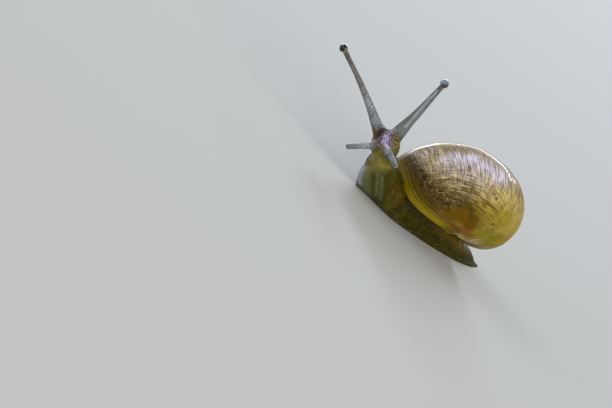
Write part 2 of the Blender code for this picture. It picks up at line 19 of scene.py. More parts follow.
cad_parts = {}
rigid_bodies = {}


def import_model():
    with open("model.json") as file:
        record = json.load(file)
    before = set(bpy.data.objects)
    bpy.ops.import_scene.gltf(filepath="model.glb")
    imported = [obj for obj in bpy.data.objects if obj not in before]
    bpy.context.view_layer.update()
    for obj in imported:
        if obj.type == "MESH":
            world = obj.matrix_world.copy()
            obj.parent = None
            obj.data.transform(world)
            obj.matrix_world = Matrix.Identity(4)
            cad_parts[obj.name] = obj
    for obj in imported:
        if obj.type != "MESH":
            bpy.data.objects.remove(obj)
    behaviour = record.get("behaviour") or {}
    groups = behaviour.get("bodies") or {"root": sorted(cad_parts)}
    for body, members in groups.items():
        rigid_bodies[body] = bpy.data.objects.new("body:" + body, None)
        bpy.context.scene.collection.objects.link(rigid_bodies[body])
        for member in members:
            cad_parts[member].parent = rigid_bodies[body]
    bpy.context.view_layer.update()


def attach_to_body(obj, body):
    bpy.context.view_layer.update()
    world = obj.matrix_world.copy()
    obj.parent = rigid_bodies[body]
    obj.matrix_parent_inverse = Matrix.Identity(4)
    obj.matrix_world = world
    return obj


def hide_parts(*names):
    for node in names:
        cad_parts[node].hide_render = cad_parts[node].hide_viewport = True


LOG = logging.getLogger("snail")
MM = 0.001
PHOTO_WIDTH = 612
PHOTO_HEIGHT = 408
Array = np.ndarray
Colour = tuple[float, float, float]
Point = tuple[float, float, float]


# Small tools for vectors and smooth values


def unit(vector: Array | Point) -> Array:
    """The vector at length one."""
    return np.asarray(vector, float) / np.linalg.norm(vector)


def units(vectors: Array) -> Array:
    """Each row of the array at length one."""
    return vectors / np.maximum(np.linalg.norm(vectors, axis=-1, keepdims=True), 1e-12)


def ease(value: Array | float, low: float, high: float) -> Array:
    """A smooth step from 0 at low to 1 at high: 3t^2 - 2t^3 with t the share of the way, kept in 0..1."""
    t = np.clip((np.asarray(value, float) - low) / (high - low), 0.0, 1.0)
    return t * t * (3 - 2 * t)


def smooth_rows(rows: Array, count: int) -> Array:
    """Rows resampled along a smooth curve through all of them.

    Each stretch is a cubic Hermite curve whose end slopes are the rows' central differences over the
    length of the line.

    Args:
        rows: Rows of numbers whose first three columns are a place.
        count: How many rows to return, evenly spaced along the line.

    Returns:
        The resampled rows.
    """
    rows = np.asarray(rows, float)
    steps = np.linalg.norm(np.diff(rows[:, :3], axis=0), axis=1)
    at = np.concatenate([[0.0], np.cumsum(steps)])
    slope = np.gradient(rows, at, axis=0)
    wanted = np.linspace(0.0, at[-1], count)
    i = np.clip(np.searchsorted(at, wanted, side="right") - 1, 0, len(at) - 2)
    span = (at[i + 1] - at[i])[:, None]
    t = (wanted - at[i])[:, None] / span
    return (
        (2 * t**3 - 3 * t**2 + 1) * rows[i]
        + (t**3 - 2 * t**2 + t) * span * slope[i]
        + (3 * t**2 - 2 * t**3) * rows[i + 1]
        + (t**3 - t**2) * span * slope[i + 1]
    )


class Grain:
    """Repeatable noise worked out for whole arrays of points."""

    PRIMES = (73856093, 19349663, 83492791, 2654435761)
    MIXER = 1274126177
    WORD = 2**32
    FAR = 9.0

    @classmethod
    def lattice(cls, cell: Array, seed: int) -> Array:
        """A random value for each whole-number cell, by mixing its three indices and the seed.

        Args:
            cell: An array whose last axis holds a cell's three whole numbers.
            seed: Which noise it is.

        Returns:
            One value in 0..1 for each cell.
        """
        whole = cell.astype(np.int64).astype(np.uint64)
        mixed = np.uint64(seed) * np.uint64(cls.PRIMES[3])
        for axis in range(3):
            mixed = mixed ^ (whole[..., axis] * np.uint64(cls.PRIMES[axis]))
        mixed = (mixed ^ (mixed >> np.uint64(13))) * np.uint64(cls.MIXER)
        mixed = (mixed ^ (mixed >> np.uint64(16))) & np.uint64(cls.WORD - 1)
        return mixed.astype(float) / cls.WORD

    @classmethod
    def cloud(cls, points: Array, scale: float, seed: int = 1) -> Array:
        """Soft noise in -1..1: the eight corner values of each cell, blended with smooth weights.

        Args:
            points: An array whose last axis is x, y, z.
            scale: The width of a cell in the points' unit.
            seed: Which noise it is.

        Returns:
            One value for each point.
        """
        place = np.asarray(points, float) / scale
        base = np.floor(place)
        part = place - base
        part = part * part * (3 - 2 * part)
        total = np.zeros(place.shape[:-1])
        for corner in np.ndindex(2, 2, 2):
            weight = np.prod(np.where(corner, part, 1 - part), axis=-1)
            total += weight * cls.lattice(base + corner, seed)
        return 2 * total - 1

    @classmethod
    def cells(cls, points: Array, seed: int = 1) -> tuple[Array, Array]:
        """The rounded cells of a crowd of random points, one in each unit cube.

        Args:
            points: An array whose last axis is x, y, z, in cubes.
            seed: Which crowd it is.

        Returns:
            How far each point is inside its cell, as the distance to the second nearest centre less that
            to the nearest, and a random value of the cell.
        """
        place = np.asarray(points, float)
        base = np.floor(place)
        nearest = np.full(place.shape[:-1], cls.FAR)
        second = np.full(place.shape[:-1], cls.FAR)
        owner = np.zeros(place.shape[:-1])
        for offset in np.ndindex(3, 3, 3):
            cell = base + np.array(offset) - 1
            jitter = np.stack([cls.lattice(cell, seed + k) for k in range(3)], axis=-1)
            away = np.linalg.norm(place - cell - 0.1 - 0.8 * jitter, axis=-1)
            closer = away < nearest
            second = np.where(closer, nearest, np.minimum(second, away))
            owner = np.where(closer, cls.lattice(cell, seed + 3), owner)
            nearest = np.where(closer, away, nearest)
        return second - nearest, owner


@dataclass(frozen=True)
class Mark:
    """A soft patch along a line of places in millimetres.

    Its strength falls as exp(-(d / reach)^2), d being the distance to the line.
    """

    name: str
    line: tuple[Point, ...]
    reach: float
    strength: float = 1.0

    def strength_at(self, points: Array) -> Array:
        """The patch's strength at each point.

        Args:
            points: An array whose last axis is x, y, z, in millimetres.

        Returns:
            One strength for each point.
        """
        places = np.asarray(self.line, float)
        nearest = np.linalg.norm(points - places[0], axis=-1)
        for start, end in zip(places[:-1], places[1:]):
            way = end - start
            share = np.clip((points - start) @ way / way.dot(way), 0.0, 1.0)
            nearest = np.minimum(nearest, np.linalg.norm(points - start - share[..., None] * way, axis=-1))
        return self.strength * np.exp(-((nearest / self.reach) ** 2))

    @staticmethod
    def gather(marks: tuple[Mark, ...], points: Array) -> dict[str, Array]:
        """The largest strength of the marks of each name, at each point and never above 1.

        Args:
            marks: The patches, of which several may share a name.
            points: An array whose last axis is x, y, z, in millimetres.

        Returns:
            One array of strengths for each name.
        """
        values: dict[str, Array] = {}
        for mark in marks:
            here = mark.strength_at(points)
            values[mark.name] = np.maximum(values[mark.name], here) if mark.name in values else here
        return {name: np.minimum(value, 1.0) for name, value in values.items()}


# Meshes from grids


@dataclass
class Surface:
    """A closed surface of points and faces, with an optional value pair for each face corner."""

    points: Array
    quads: Array
    triangles: Array
    quad_uv: Array | None = None
    triangle_uv: Array | None = None

    @classmethod
    def closed_grid(cls, rings: Array, along: Array | None = None) -> Surface:
        """A tube through rings of equal point counts, closed by a pole in the middle of each end.

        The point in row i and column j joins columns j and j + 1 and rows i and i + 1, and the last
        column joins the first. The value pair is the row's own value and the share of the way round.

        Args:
            rings: Points as rows x columns x 3.
            along: One value for each row, for the value pairs.

        Returns:
            The surface, its faces pointing out.
        """
        rows, columns = rings.shape[:2]
        i, j = np.meshgrid(np.arange(rows - 1), np.arange(columns), indexing="ij")
        k = (j + 1) % columns
        quads = np.stack([i * columns + j, i * columns + k, (i + 1) * columns + k, (i + 1) * columns + j], -1)
        column = np.arange(columns)
        onward = (column + 1) % columns
        start = np.full(columns, rows * columns)
        end = start + 1
        last = (rows - 1) * columns
        triangles = np.concatenate(
            [np.stack([start, onward, column], -1), np.stack([end, last + column, last + onward], -1)]
        )
        points = np.concatenate([rings.reshape(-1, 3), rings[:1].mean(axis=1), rings[-1:].mean(axis=1)])
        made = cls(points, quads.reshape(-1, 4), triangles)
        if along is not None:
            u0, u1 = along[i], along[i + 1]
            v0, v1 = j / columns, (j + 1) / columns
            made.quad_uv = np.stack(
                [np.stack([u0, v0], -1), np.stack([u0, v1], -1), np.stack([u1, v1], -1), np.stack([u1, v0], -1)],
                axis=2,
            ).reshape(-1, 4, 2)
            here, there = column / columns, (column + 1) / columns
            first = np.stack([np.full((columns, 3), along[0]), np.stack([here, there, here], -1)], -1)
            final = np.stack([np.full((columns, 3), along[-1]), np.stack([here, here, there], -1)], -1)
            made.triangle_uv = np.concatenate([first, final])
        made.face_out()
        return made

    def face_out(self) -> None:
        """Turns the faces round when the volume inside them is negative."""
        p = self.points
        corners = np.concatenate([self.quads[:, [0, 1, 2]], self.quads[:, [0, 2, 3]], self.triangles])
        a, b, c = (p[corners[:, n]] for n in range(3))
        if np.einsum("ij,ij->i", a, np.cross(b, c)).sum() < 0:
            self.quads = self.quads[:, ::-1]
            self.triangles = self.triangles[:, ::-1]
            if self.quad_uv is not None and self.triangle_uv is not None:
                self.quad_uv = self.quad_uv[:, ::-1]
                self.triangle_uv = self.triangle_uv[:, ::-1]

    @staticmethod
    def together(parts: list[Surface]) -> Surface:
        """Several surfaces as one list of points and faces, without their value pairs.

        Args:
            parts: The surfaces.

        Returns:
            One surface, in which each part's faces count on from the points before it.
        """
        offset = np.cumsum([0] + [len(part.points) for part in parts[:-1]])
        return Surface(
            np.concatenate([part.points for part in parts]),
            np.concatenate([part.quads + n for part, n in zip(parts, offset)]),
            np.concatenate([part.triangles + n for part, n in zip(parts, offset)]),
        )

    def build(self, name: str) -> bpy.types.Object:
        """Makes the object, in metres and shaded smooth.

        Args:
            name: The object's name.

        Returns:
            The new object at the origin.
        """
        mesh = bpy.data.meshes.new(name)
        faces = [*self.quads.tolist(), *self.triangles.tolist()]
        mesh.from_pydata((self.points * MM).tolist(), [], faces)
        if self.quad_uv is not None and self.triangle_uv is not None:
            layer = mesh.uv_layers.new(name="growth")
            pairs = np.concatenate([self.quad_uv.reshape(-1, 2), self.triangle_uv.reshape(-1, 2)])
            layer.data.foreach_set("uv", pairs.astype(np.float32).ravel())
        mesh.shade_smooth()
        obj = bpy.data.objects.new(name, mesh)
        bpy.context.scene.collection.objects.link(obj)
        return obj


def put_attribute(obj: bpy.types.Object, name: str, values: Array) -> None:
    """Stores one number for each vertex under a name that materials read."""
    attribute = obj.data.attributes.new(name, "FLOAT", "POINT")
    attribute.data.foreach_set("value", np.asarray(values, np.float32).ravel())


def ball(centre: Array | Point, axes: Array, radii: Array | Point, around: int = 48, along: int = 30) -> Surface:
    """An ellipsoid: the centre plus the three axes times radii times the unit sphere's coordinates.

    Args:
        centre: Its middle.
        axes: Its three directions as rows.
        radii: Its radius along each of them.
        around: How many points a ring has.
        along: How many rings there are from pole to pole, with the poles.

    Returns:
        The closed surface.
    """
    polar = np.linspace(0.0, np.pi, along)[1:-1, None]
    turn = np.linspace(0.0, 2 * np.pi, around, endpoint=False)[None, :]
    sphere = np.stack(
        [np.sin(polar) * np.cos(turn), np.sin(polar) * np.sin(turn), np.cos(polar) * np.ones_like(turn)], -1
    )
    return Surface.closed_grid(np.asarray(centre) + sphere @ (np.asarray(axes) * np.asarray(radii)[:, None]))


# Shader expressions


@dataclass
class Wire:
    """A socket in a shader expression; arithmetic on it adds Math nodes."""

    graph: Graph
    socket: bpy.types.NodeSocket

    def math(self, operation: str, *others: Wire | float) -> Wire:
        """A Math node with this socket as its first value."""
        return self.graph.node("ShaderNodeMath", {"operation": operation}, dict(enumerate((self, *others))))

    def __add__(self, other: Wire | float) -> Wire:
        """Sum."""
        return self.math("ADD", other)

    __radd__ = __add__

    def __sub__(self, other: Wire | float) -> Wire:
        """Difference."""
        return self.math("SUBTRACT", other)

    def __rsub__(self, other: float) -> Wire:
        """A number less this."""
        return self.graph.node("ShaderNodeMath", {"operation": "SUBTRACT"}, {0: other, 1: self})

    def __mul__(self, other: Wire | float) -> Wire:
        """Product."""
        return self.math("MULTIPLY", other)

    __rmul__ = __mul__

    def step(self, low: float, high: float) -> Wire:
        """A smooth step between two values, which falls where the larger is given first.

        Args:
            low: Where the step is 0.
            high: Where the step is 1.

        Returns:
            The step, kept in 0..1.
        """
        settings = {"interpolation_type": "SMOOTHSTEP"}
        ends = (low, high, 0.0, 1.0) if low < high else (high, low, 1.0, 0.0)
        return self.graph.node("ShaderNodeMapRange", settings, dict(enumerate((self, *ends))))


class Graph:
    """The node tree of one material."""

    def __init__(self, name: str) -> None:
        """Starts a material with a Principled shader and its output.

        Args:
            name: The material's name.
        """
        self.material = bpy.data.materials.new(name)
        self.material.use_nodes = True
        self.tree = self.material.node_tree
        self.shader = self.tree.nodes["Principled BSDF"]

    def node(
        self, kind: str, settings: dict[str, object], values: dict[int | str, object], out: int | str = 0
    ) -> Wire:
        """Adds a node.

        Args:
            kind: The node's type.
            settings: Its own settings, set first.
            values: Numbers, colours or wires for its input sockets, by index or name.
            out: Which output socket to return.

        Returns:
            That output.
        """
        made = self.tree.nodes.new(kind)
        for key, value in settings.items():
            setattr(made, key, value)
        for key, value in values.items():
            self.feed(made.inputs[key], value)
        return Wire(self, made.outputs[out])

    def feed(self, socket: bpy.types.NodeSocket, value: object) -> None:
        """Links a wire to a socket, or sets the socket's value.

        Args:
            socket: The input socket.
            value: A wire, a number, a colour or a vector.
        """
        if isinstance(value, Wire):
            self.tree.links.new(value.socket, socket)
        elif isinstance(value, tuple) and len(value) == 3 and socket.type == "RGBA":
            socket.default_value = (*value, 1.0)
        else:
            socket.default_value = value

    def attribute(self, name: str) -> Wire:
        """A number stored on the mesh."""
        return self.node("ShaderNodeAttribute", {"attribute_name": name}, {}, "Fac")

    def place(self) -> Wire:
        """The point's place on the object, in metres."""
        return self.node("ShaderNodeTexCoord", {}, {}, "Object")

    def stretched(self, source: Wire, scale: Point) -> Wire:
        """A place with each of its numbers multiplied."""
        return self.node("ShaderNodeMapping", {}, {"Vector": source, "Scale": scale})

    def noise(self, source: Wire, scale: float, detail: float = 2.0, roughness: float = 0.5) -> Wire:
        """Soft noise in 0..1."""
        values = {"Vector": source, "Scale": scale, "Detail": detail, "Roughness": roughness}
        return self.node("ShaderNodeTexNoise", {}, values, "Fac")

    def cells(self, source: Wire, scale: float, feature: str = "F1") -> Wire:
        """The distance to the nearest of many scattered points."""
        values = {"Vector": source, "Scale": scale}
        return self.node("ShaderNodeTexVoronoi", {"feature": feature}, values, "Distance")

    def blend(self, start: Wire | Colour, end: Wire | Colour, share: Wire | float, how: str = "MIX") -> Wire:
        """A mix of two colours."""
        settings = {"data_type": "RGBA", "blend_type": how, "clamp_factor": True}
        return self.node("ShaderNodeMix", settings, {0: share, 6: start, 7: end}, 2)

    def spot(self, source: Wire, place: Point, radius: float) -> Wire:
        """A small soft-edged spot: a smooth step of the distance to its middle.

        Args:
            source: The point's place on the object.
            place: The spot's middle in millimetres.
            radius: Its radius in millimetres, near the middle of its soft edge.

        Returns:
            1 in the spot and 0 away from it.
        """
        inner, outer = 0.55, 1.25
        centre = tuple(value * MM for value in place)
        away = self.node("ShaderNodeVectorMath", {"operation": "DISTANCE"}, {0: source, 1: centre}, "Value")
        return away.step(outer * radius * MM, inner * radius * MM)

    def bump(self, height: Wire, depth: float) -> Wire:
        """A normal bent by a height in 0..1 that stands for this depth in millimetres."""
        return self.node("ShaderNodeBump", {}, {"Strength": 1.0, "Distance": depth * MM, "Height": height})

    def finish(self, varying: dict[str, Wire], constant: dict[str, object]) -> bpy.types.Material:
        """Feeds the shader.

        Args:
            varying: Wires for what changes over the surface, by the socket's name.
            constant: Plain values for the rest.

        Returns:
            The material.
        """
        for name, value in {**constant, **varying}.items():
            self.feed(self.shader.inputs[name], value)
        return self.material


# Finishes


@dataclass(frozen=True)
class ShellFinish:
    """Thin horn-coloured shell, lit through, with growth lines, spiral lines and the mantle's spots; painted glow
    stands for light shining through it and painted sheen for light on its upper lines.
    """

    horn: Colour = (0.31, 0.225, 0.095)
    pale: Colour = (0.40, 0.325, 0.235)
    olive: Colour = (0.34, 0.255, 0.085)
    # Partly the shell's own honey colour, partly painted light shining through the far side of the last whorl.
    honey_with_painted_light: Colour = (0.48, 0.37, 0.140)
    # Partly the shell's own gold, partly painted light shining through the left side of the last whorl.
    gold_with_painted_light: Colour = (0.290, 0.215, 0.026)
    # Partly the shell's own gold-olive, partly painted light shining through the low left side of the last whorl.
    moss_with_painted_light: Colour = (0.240, 0.188, 0.012)
    shade: Colour = (0.066, 0.043, 0.0030)
    # Painted glow: orange-brown for light shining through the shell near the lower lip, over its own colour.
    painted_glow: Colour = (0.118, 0.060, 0.0006)
    # Painted glow: deeper orange for light shining through the shell just above the lower lip.
    painted_ember_light: Colour = (0.205, 0.074, 0.0006)
    # Painted glow: orange for light shining through the thin back of the last whorl.
    painted_edge_light: Colour = (0.55, 0.25, 0.010)
    brown: Colour = (0.105, 0.060, 0.017)
    # Painted sheen: lilac-white standing for sky light reflected off the upper shell's lines.
    painted_sheen_and_dashes: Colour = (0.78, 0.73, 0.95)
    spots: Colour = (0.022, 0.011, 0.004)
    lip: Colour = (0.200, 0.160, 0.001)
    lip_dull: Colour = (0.165, 0.092, 0.001)
    lip_line: Colour = (0.200, 0.140, 0.001)
    behind_lip: Colour = (0.074, 0.038, 0.001)
    enamel: Colour = (0.60, 0.50, 0.27)
    fleck: Colour = (0.27, 0.19, 0.085)
    lines_a_turn: float = 290.0
    fine_lines_a_turn: float = 560.0
    spirals_around: float = 190.0
    blemishes: tuple[tuple[Point, float], ...] = (
        ((-3.35, -6.70, 10.57), 0.26),
        ((-1.42, -7.43, 7.87), 0.24),
        ((-3.80, -6.35, 10.95), 0.15),
        ((-7.28, -5.99, 5.85), 0.20),
        ((-8.25, -5.60, 6.04), 0.18),
    )

    def material(self) -> bpy.types.Material:
        """The shell's material, on its growth map: turns along it and the share of the way round.

        Each colour is laid over the ones before it, where its patch or its noise is strong.

        Returns:
            The material.
        """
        g = Graph("shell_horn")
        growth = g.node("ShaderNodeUVMap", {"uv_map": "growth"}, {})
        place = g.place()

        def weave(turns: float, around: float, detail: float = 2.0) -> Wire:
            """Noise with so many waves a turn and so many round the whorl."""
            return g.noise(g.stretched(growth, (turns, around, 1.0)), 1.0, detail, 0.55)

        worn = 1.0 - g.attribute("smooth") * 0.85
        streaky = g.attribute("banded")
        ridges = weave(self.lines_a_turn, 16.0)
        fine = weave(self.fine_lines_a_turn, 120.0)
        spirals = weave(30.0, self.spirals_around)
        broad_spirals = weave(16.0, 60.0)
        bands = weave(30.0, 4.0)
        patches = weave(60.0, 26.0, 3.0)
        ridge_tops = ridges.step(0.43, 0.60)
        spiral_tops = spirals.step(0.44, 0.58)
        upright = ridge_tops * 0.46 + spiral_tops * 0.20 + fine * 0.34
        level = spiral_tops * 0.44 + ridge_tops * 0.12 + fine * 0.44
        lines = upright * (1.0 - streaky) + level * streaky
        tone = 0.50 + (lines - 0.50) * worn * 1.7 + (patches - 0.5) * (0.35 + 0.75 * worn)
        tone = tone + (bands - 0.5) * 0.4
        # The patches on the last whorl's left side and above the lower lip are partly the shell's own colour, partly
        # painted light shining through it.
        colour = g.blend(self.horn, self.pale, g.attribute("pale"))
        for name in ("olive", "honey_with_painted_light", "gold_with_painted_light", "moss_with_painted_light", "shade", "painted_glow", "painted_ember_light"):
            colour = g.blend(colour, getattr(self, name), g.attribute(name))
        colour = g.blend(colour, 0.48 + 1.04 * tone, 1.0, "MULTIPLY")
        streaks = broad_spirals.step(0.49, 0.56) * streaky * (1.1 - 0.5 * ridge_tops)
        colour = g.blend(colour, self.brown, streaks)
        flecks = weave(150.0, 150.0).step(0.52, 0.60) * g.attribute("flecks")
        colour = g.blend(colour, self.fleck, flecks)
        # Painted glow along the back of the last whorl.
        colour = g.blend(colour, self.painted_edge_light, g.attribute("painted_edge_light"))
        # Painted sheen: net lines, lilac-white where light catches the growth and spiral lines of the upper shell.
        net = weave(330.0, 22.0).step(0.56, 0.62).math("MAXIMUM", weave(46.0, 210.0).step(0.57, 0.63))
        net = net * (0.55 + 0.7 * fine)
        # Brown dashes, the shell's own marks, go in the same patch as the painted sheen.
        dashes = weave(70.0, 170.0, 1.0).step(0.60, 0.64) * g.attribute("painted_sheen_and_dashes")
        colour = g.blend(colour, self.brown, dashes * 0.7)
        colour = g.blend(colour, self.painted_sheen_and_dashes, g.attribute("painted_sheen_and_dashes") * net)
        # Painted sheen: a soft lilac haze of reflected light over the shell's top, stronger on the ridges.
        colour = g.blend(colour, self.painted_sheen_and_dashes, g.attribute("painted_sheen_haze") * (0.25 + 0.75 * ridge_tops))
        clumps = weave(75.0, 46.0, 3.0).step(0.50, 0.56) * fine.step(0.30, 0.45)
        colour = g.blend(colour, self.spots, clumps * g.attribute("mantle"))
        crumbs = weave(300.0, 120.0).step(0.60, 0.70) * worn
        colour = g.blend(colour, self.brown, crumbs * 0.5)
        for spot, radius in self.blemishes:
            colour = g.blend(colour, self.spots, g.spot(place, spot, radius) * 0.70)
        edge = g.attribute("from_lip")
        waver = edge + 0.14 * (broad_spirals - 0.5)
        near = edge.step(2.6, 1.3) * (0.65 + 0.5 * (patches - 0.3))
        colour = g.blend(colour, self.behind_lip, near)
        colour = g.blend(colour, self.lip_line, waver.step(0.80, 0.92) * waver.step(1.26, 1.04) * 0.5)
        colour = g.blend(colour, self.lip_line, waver.step(1.42, 1.50) * waver.step(1.66, 1.58) * 0.25)
        lip = g.blend(self.lip_dull, self.lip, g.attribute("band") * (0.75 + 0.5 * fine))
        colour = g.blend(colour, lip, waver.step(0.86, 0.62))
        colour = g.blend(colour, self.enamel, g.attribute("enamel"))
        relief = (ridge_tops * 0.34 + fine * 0.2 + spiral_tops * 0.26) * worn + patches * 0.2
        relief = relief * (1.0 - 0.75 * g.attribute("crest"))
        varying = {
            "Base Color": colour,
            "Roughness": 0.36 + 0.20 * relief,
            "Normal": g.bump(relief, 0.035),
            "Coat Weight": 0.03 + 0.47 * g.attribute("crest"),
        }
        constant = {
            "Subsurface Weight": 0.10,
            "Subsurface Radius": (1.0, 0.5, 0.15),
            "Subsurface Scale": 0.0006,
            "Specular IOR Level": 0.05,
            "Coat Roughness": 0.12,
            "IOR": 1.5,
        }
        return g.finish(varying, constant)


@dataclass(frozen=True)
class SkinFinish:
    """Wet, granular skin: dark olive flanks, pale feelers, a netted forehead and a straw-green snout."""

    groove: Colour = (0.024, 0.020, 0.0006)
    flank: Colour = (0.046, 0.039, 0.0008)
    # Lighter granule tops: partly paler granules, partly painted highlight.
    grain: Colour = (0.088, 0.080, 0.006)
    # Partly the flesh's own brown by the lip, partly painted glow of light there.
    warm_and_painted_light: Colour = (0.120, 0.070, 0.0008)
    warm_dark: Colour = (0.058, 0.034, 0.0004)
    sole: Colour = (0.074, 0.072, 0.008)
    sole_dark: Colour = (0.040, 0.037, 0.003)
    pale_side: Colour = (0.150, 0.155, 0.070)
    # Painted rim light: bluish-white for light along the contour of the raised sole and neck; also the colour of the
    # painted glints.
    rim_light: Colour = (0.44, 0.46, 0.56)
    streak: Colour = (0.165, 0.175, 0.105)
    dusk: Colour = (0.046, 0.038, 0.003)
    snout: Colour = (0.190, 0.162, 0.034)
    snout_dark: Colour = (0.080, 0.064, 0.012)
    chin: Colour = (0.34, 0.295, 0.075)
    cheek: Colour = (0.30, 0.235, 0.095)
    cheek_dark: Colour = (0.058, 0.038, 0.014)
    brow: Colour = (0.028, 0.012, 0.010)
    net: Colour = (0.58, 0.54, 0.82)
    net_dark: Colour = (0.095, 0.068, 0.115)
    feeler: Colour = (0.175, 0.165, 0.158)
    feeler_dark: Colour = (0.072, 0.064, 0.062)
    feeler_blue: Colour = (0.125, 0.155, 0.155)
    feeler_low: Colour = (0.250, 0.275, 0.315)
    feeler_grain: Colour = (0.80, 0.80, 0.94)
    feeler_tip: Colour = (0.30, 0.235, 0.150)
    mantle: Colour = (0.092, 0.044, 0.0008)

    def material(self) -> bpy.types.Material:
        """The skin's material, on the numbers stored with the mesh and the place on the object.

        Returns:
            The material.
        """
        g = Graph("snail_skin")
        place = g.place()
        grain = g.attribute("grain")
        micro = 1.0 - g.cells(place, 7000.0)
        mottle = g.noise(place, 1500.0, 3.0, 0.6)
        cloudy = g.noise(place, 420.0, 2.0, 0.5)
        tops = (grain * 0.65 + micro * 0.30 + mottle * 0.35).step(0.45, 1.05)
        colour = g.blend(self.groove, self.flank, tops.step(0.0, 0.6))
        # Lighter granule tops: partly paler granules, partly painted highlight.
        colour = g.blend(colour, self.grain, tops * mottle.step(0.46, 0.62) * 0.8)
        # Flesh by the lip: partly its own brown, partly painted glow.
        warm_and_painted_light = g.blend(self.warm_dark, self.warm_and_painted_light, (tops * 0.5 + cloudy * 0.8).step(0.30, 0.85))
        colour = g.blend(colour, warm_and_painted_light, g.attribute("warm_and_painted_light"))
        sole = g.blend(self.sole_dark, self.sole, (cloudy * 0.7 + mottle * 0.4).step(0.40, 0.68))
        colour = g.blend(colour, sole, g.attribute("sole"))
        colour = g.blend(colour, self.pale_side, g.attribute("pale_side") * (0.6 + 0.5 * cloudy))
        colour = g.blend(colour, self.dusk, g.attribute("dusk") * (0.6 + 0.5 * mottle))
        # Painted light: the warm colour laid over the shaded hollow between neck, mantle collar and lip.
        colour = g.blend(colour, warm_and_painted_light, g.attribute("painted_fill_light"))
        dotted = 0.40 + 0.45 * g.noise(place, 3000.0, 1.0, 0.5).step(0.42, 0.60)
        colour = g.blend(colour, self.streak, g.attribute("streak") * dotted)
        # Painted rim light on the raised sole's fringe and the neck's front.
        colour = g.blend(colour, self.rim_light, g.attribute("rim_light") * (0.6 + 0.4 * mottle))
        colour = g.blend(colour, self.mantle, g.attribute("mantle"))
        cheek = g.blend(self.cheek_dark, self.cheek, (grain * 0.5 + micro * 0.5 + mottle * 0.3).step(0.40, 1.0))
        colour = g.blend(colour, cheek, g.attribute("head") * 0.95)
        snout = g.blend(self.snout_dark, self.snout, (cloudy * 0.6 + mottle * 0.5).step(0.36, 0.70))
        colour = g.blend(colour, snout, g.attribute("snout"))
        colour = g.blend(colour, self.chin, g.attribute("chin") * (0.6 + 0.5 * cloudy))
        colour = g.blend(colour, self.brow, g.attribute("brow") * (0.85 + 0.2 * mottle))
        crumbs = (g.cells(place, 4600.0, "DISTANCE_TO_EDGE") * -1.0 + 0.30).step(0.12, 0.24)
        net = g.blend(self.net_dark, self.net, crumbs * mottle.step(0.36, 0.52))
        colour = g.blend(colour, net, g.attribute("net"))
        lengthwise = g.noise(g.stretched(place, (1.0, 1.0, 0.22)), 4200.0, 2.0, 0.6)
        stalk = g.blend(self.feeler_dark, self.feeler, (lengthwise * 0.7 + cloudy * 0.5).step(0.36, 0.80))
        stalk = g.blend(stalk, self.feeler_blue, g.attribute("bluish") * lengthwise.step(0.30, 0.60) * 0.9)
        stalk = g.blend(stalk, self.feeler_low, g.attribute("feeler_low") * lengthwise.step(0.30, 0.65))
        colour = g.blend(colour, stalk, g.attribute("feeler"))
        beads = (grain * 0.55 + micro * 0.55).step(0.60, 0.85) * mottle.step(0.42, 0.56)
        colour = g.blend(colour, self.feeler_grain, g.attribute("beads") * beads)
        # Painted highlight: pale lines down one side of each feeler, where light catches its edge.
        colour = g.blend(colour, self.feeler_grain, g.attribute("painted_edge_highlight") * 0.7)
        colour = g.blend(colour, self.feeler_tip, g.attribute("feeler_tip") * 0.85)
        # Painted glints: small specks in the painted rim light's colour, for light caught by the wet foot edge.
        painted_glints = g.cells(place, 3600.0).step(0.24, 0.10) * mottle.step(0.45, 0.60)
        colour = g.blend(colour, self.rim_light, painted_glints * g.attribute("wet"))
        height = micro * 0.45 + grain * 0.35 + mottle * 0.3
        varying = {
            "Base Color": colour,
            "Roughness": 0.30 + 0.26 * mottle,
            "Normal": g.bump(height, 0.040),
        }
        constant = {
            "Subsurface Weight": 0.12,
            "Subsurface Radius": (1.0, 0.7, 0.3),
            "Subsurface Scale": 0.0004,
            "Specular IOR Level": 0.09,
            "Coat Weight": 0.05,
            "Coat Roughness": 0.15,
            "Sheen Weight": 0.10,
            "Sheen Roughness": 0.25,
            "Sheen Tint": (0.75, 0.80, 1.0, 1.0),
            "IOR": 1.38,
        }
        return g.finish(varying, constant)


@dataclass(frozen=True)
class EyeFinish:
    """The clear, wet end of an upper feeler with the black eye in it."""

    name: str
    pupil: Colour = (0.008, 0.007, 0.010)
    ring: Colour = (0.10, 0.075, 0.05)
    clear: Colour = (0.17, 0.18, 0.23)

    def material(self) -> bpy.types.Material:
        """The eye's material, on the share of the pupil stored with the mesh.

        Returns:
            The material.
        """
        g = Graph(self.name)
        pupil = g.attribute("pupil")
        mottle = g.noise(g.place(), 5000.0, 2.0, 0.5)
        colour = g.blend(self.clear, self.ring, (pupil + 0.2 * mottle).step(0.15, 0.45))
        colour = g.blend(colour, self.pupil, (pupil + 0.1 * mottle).step(0.45, 0.70))
        varying = {"Base Color": colour, "Roughness": 0.12 + 0.10 * mottle}
        constant = {"Specular IOR Level": 0.3, "Coat Weight": 0.45, "Coat Roughness": 0.08, "IOR": 1.42}
        return g.finish(varying, constant)


@dataclass(frozen=True)
class FloorFinish:
    """A plain pale studio floor."""

    pale: Colour = (0.50, 0.50, 0.48)

    def material(self) -> bpy.types.Material:
        """The floor's material."""
        return Graph("studio_floor").finish({}, {"Base Color": self.pale, "Roughness": 0.75})


# The shell


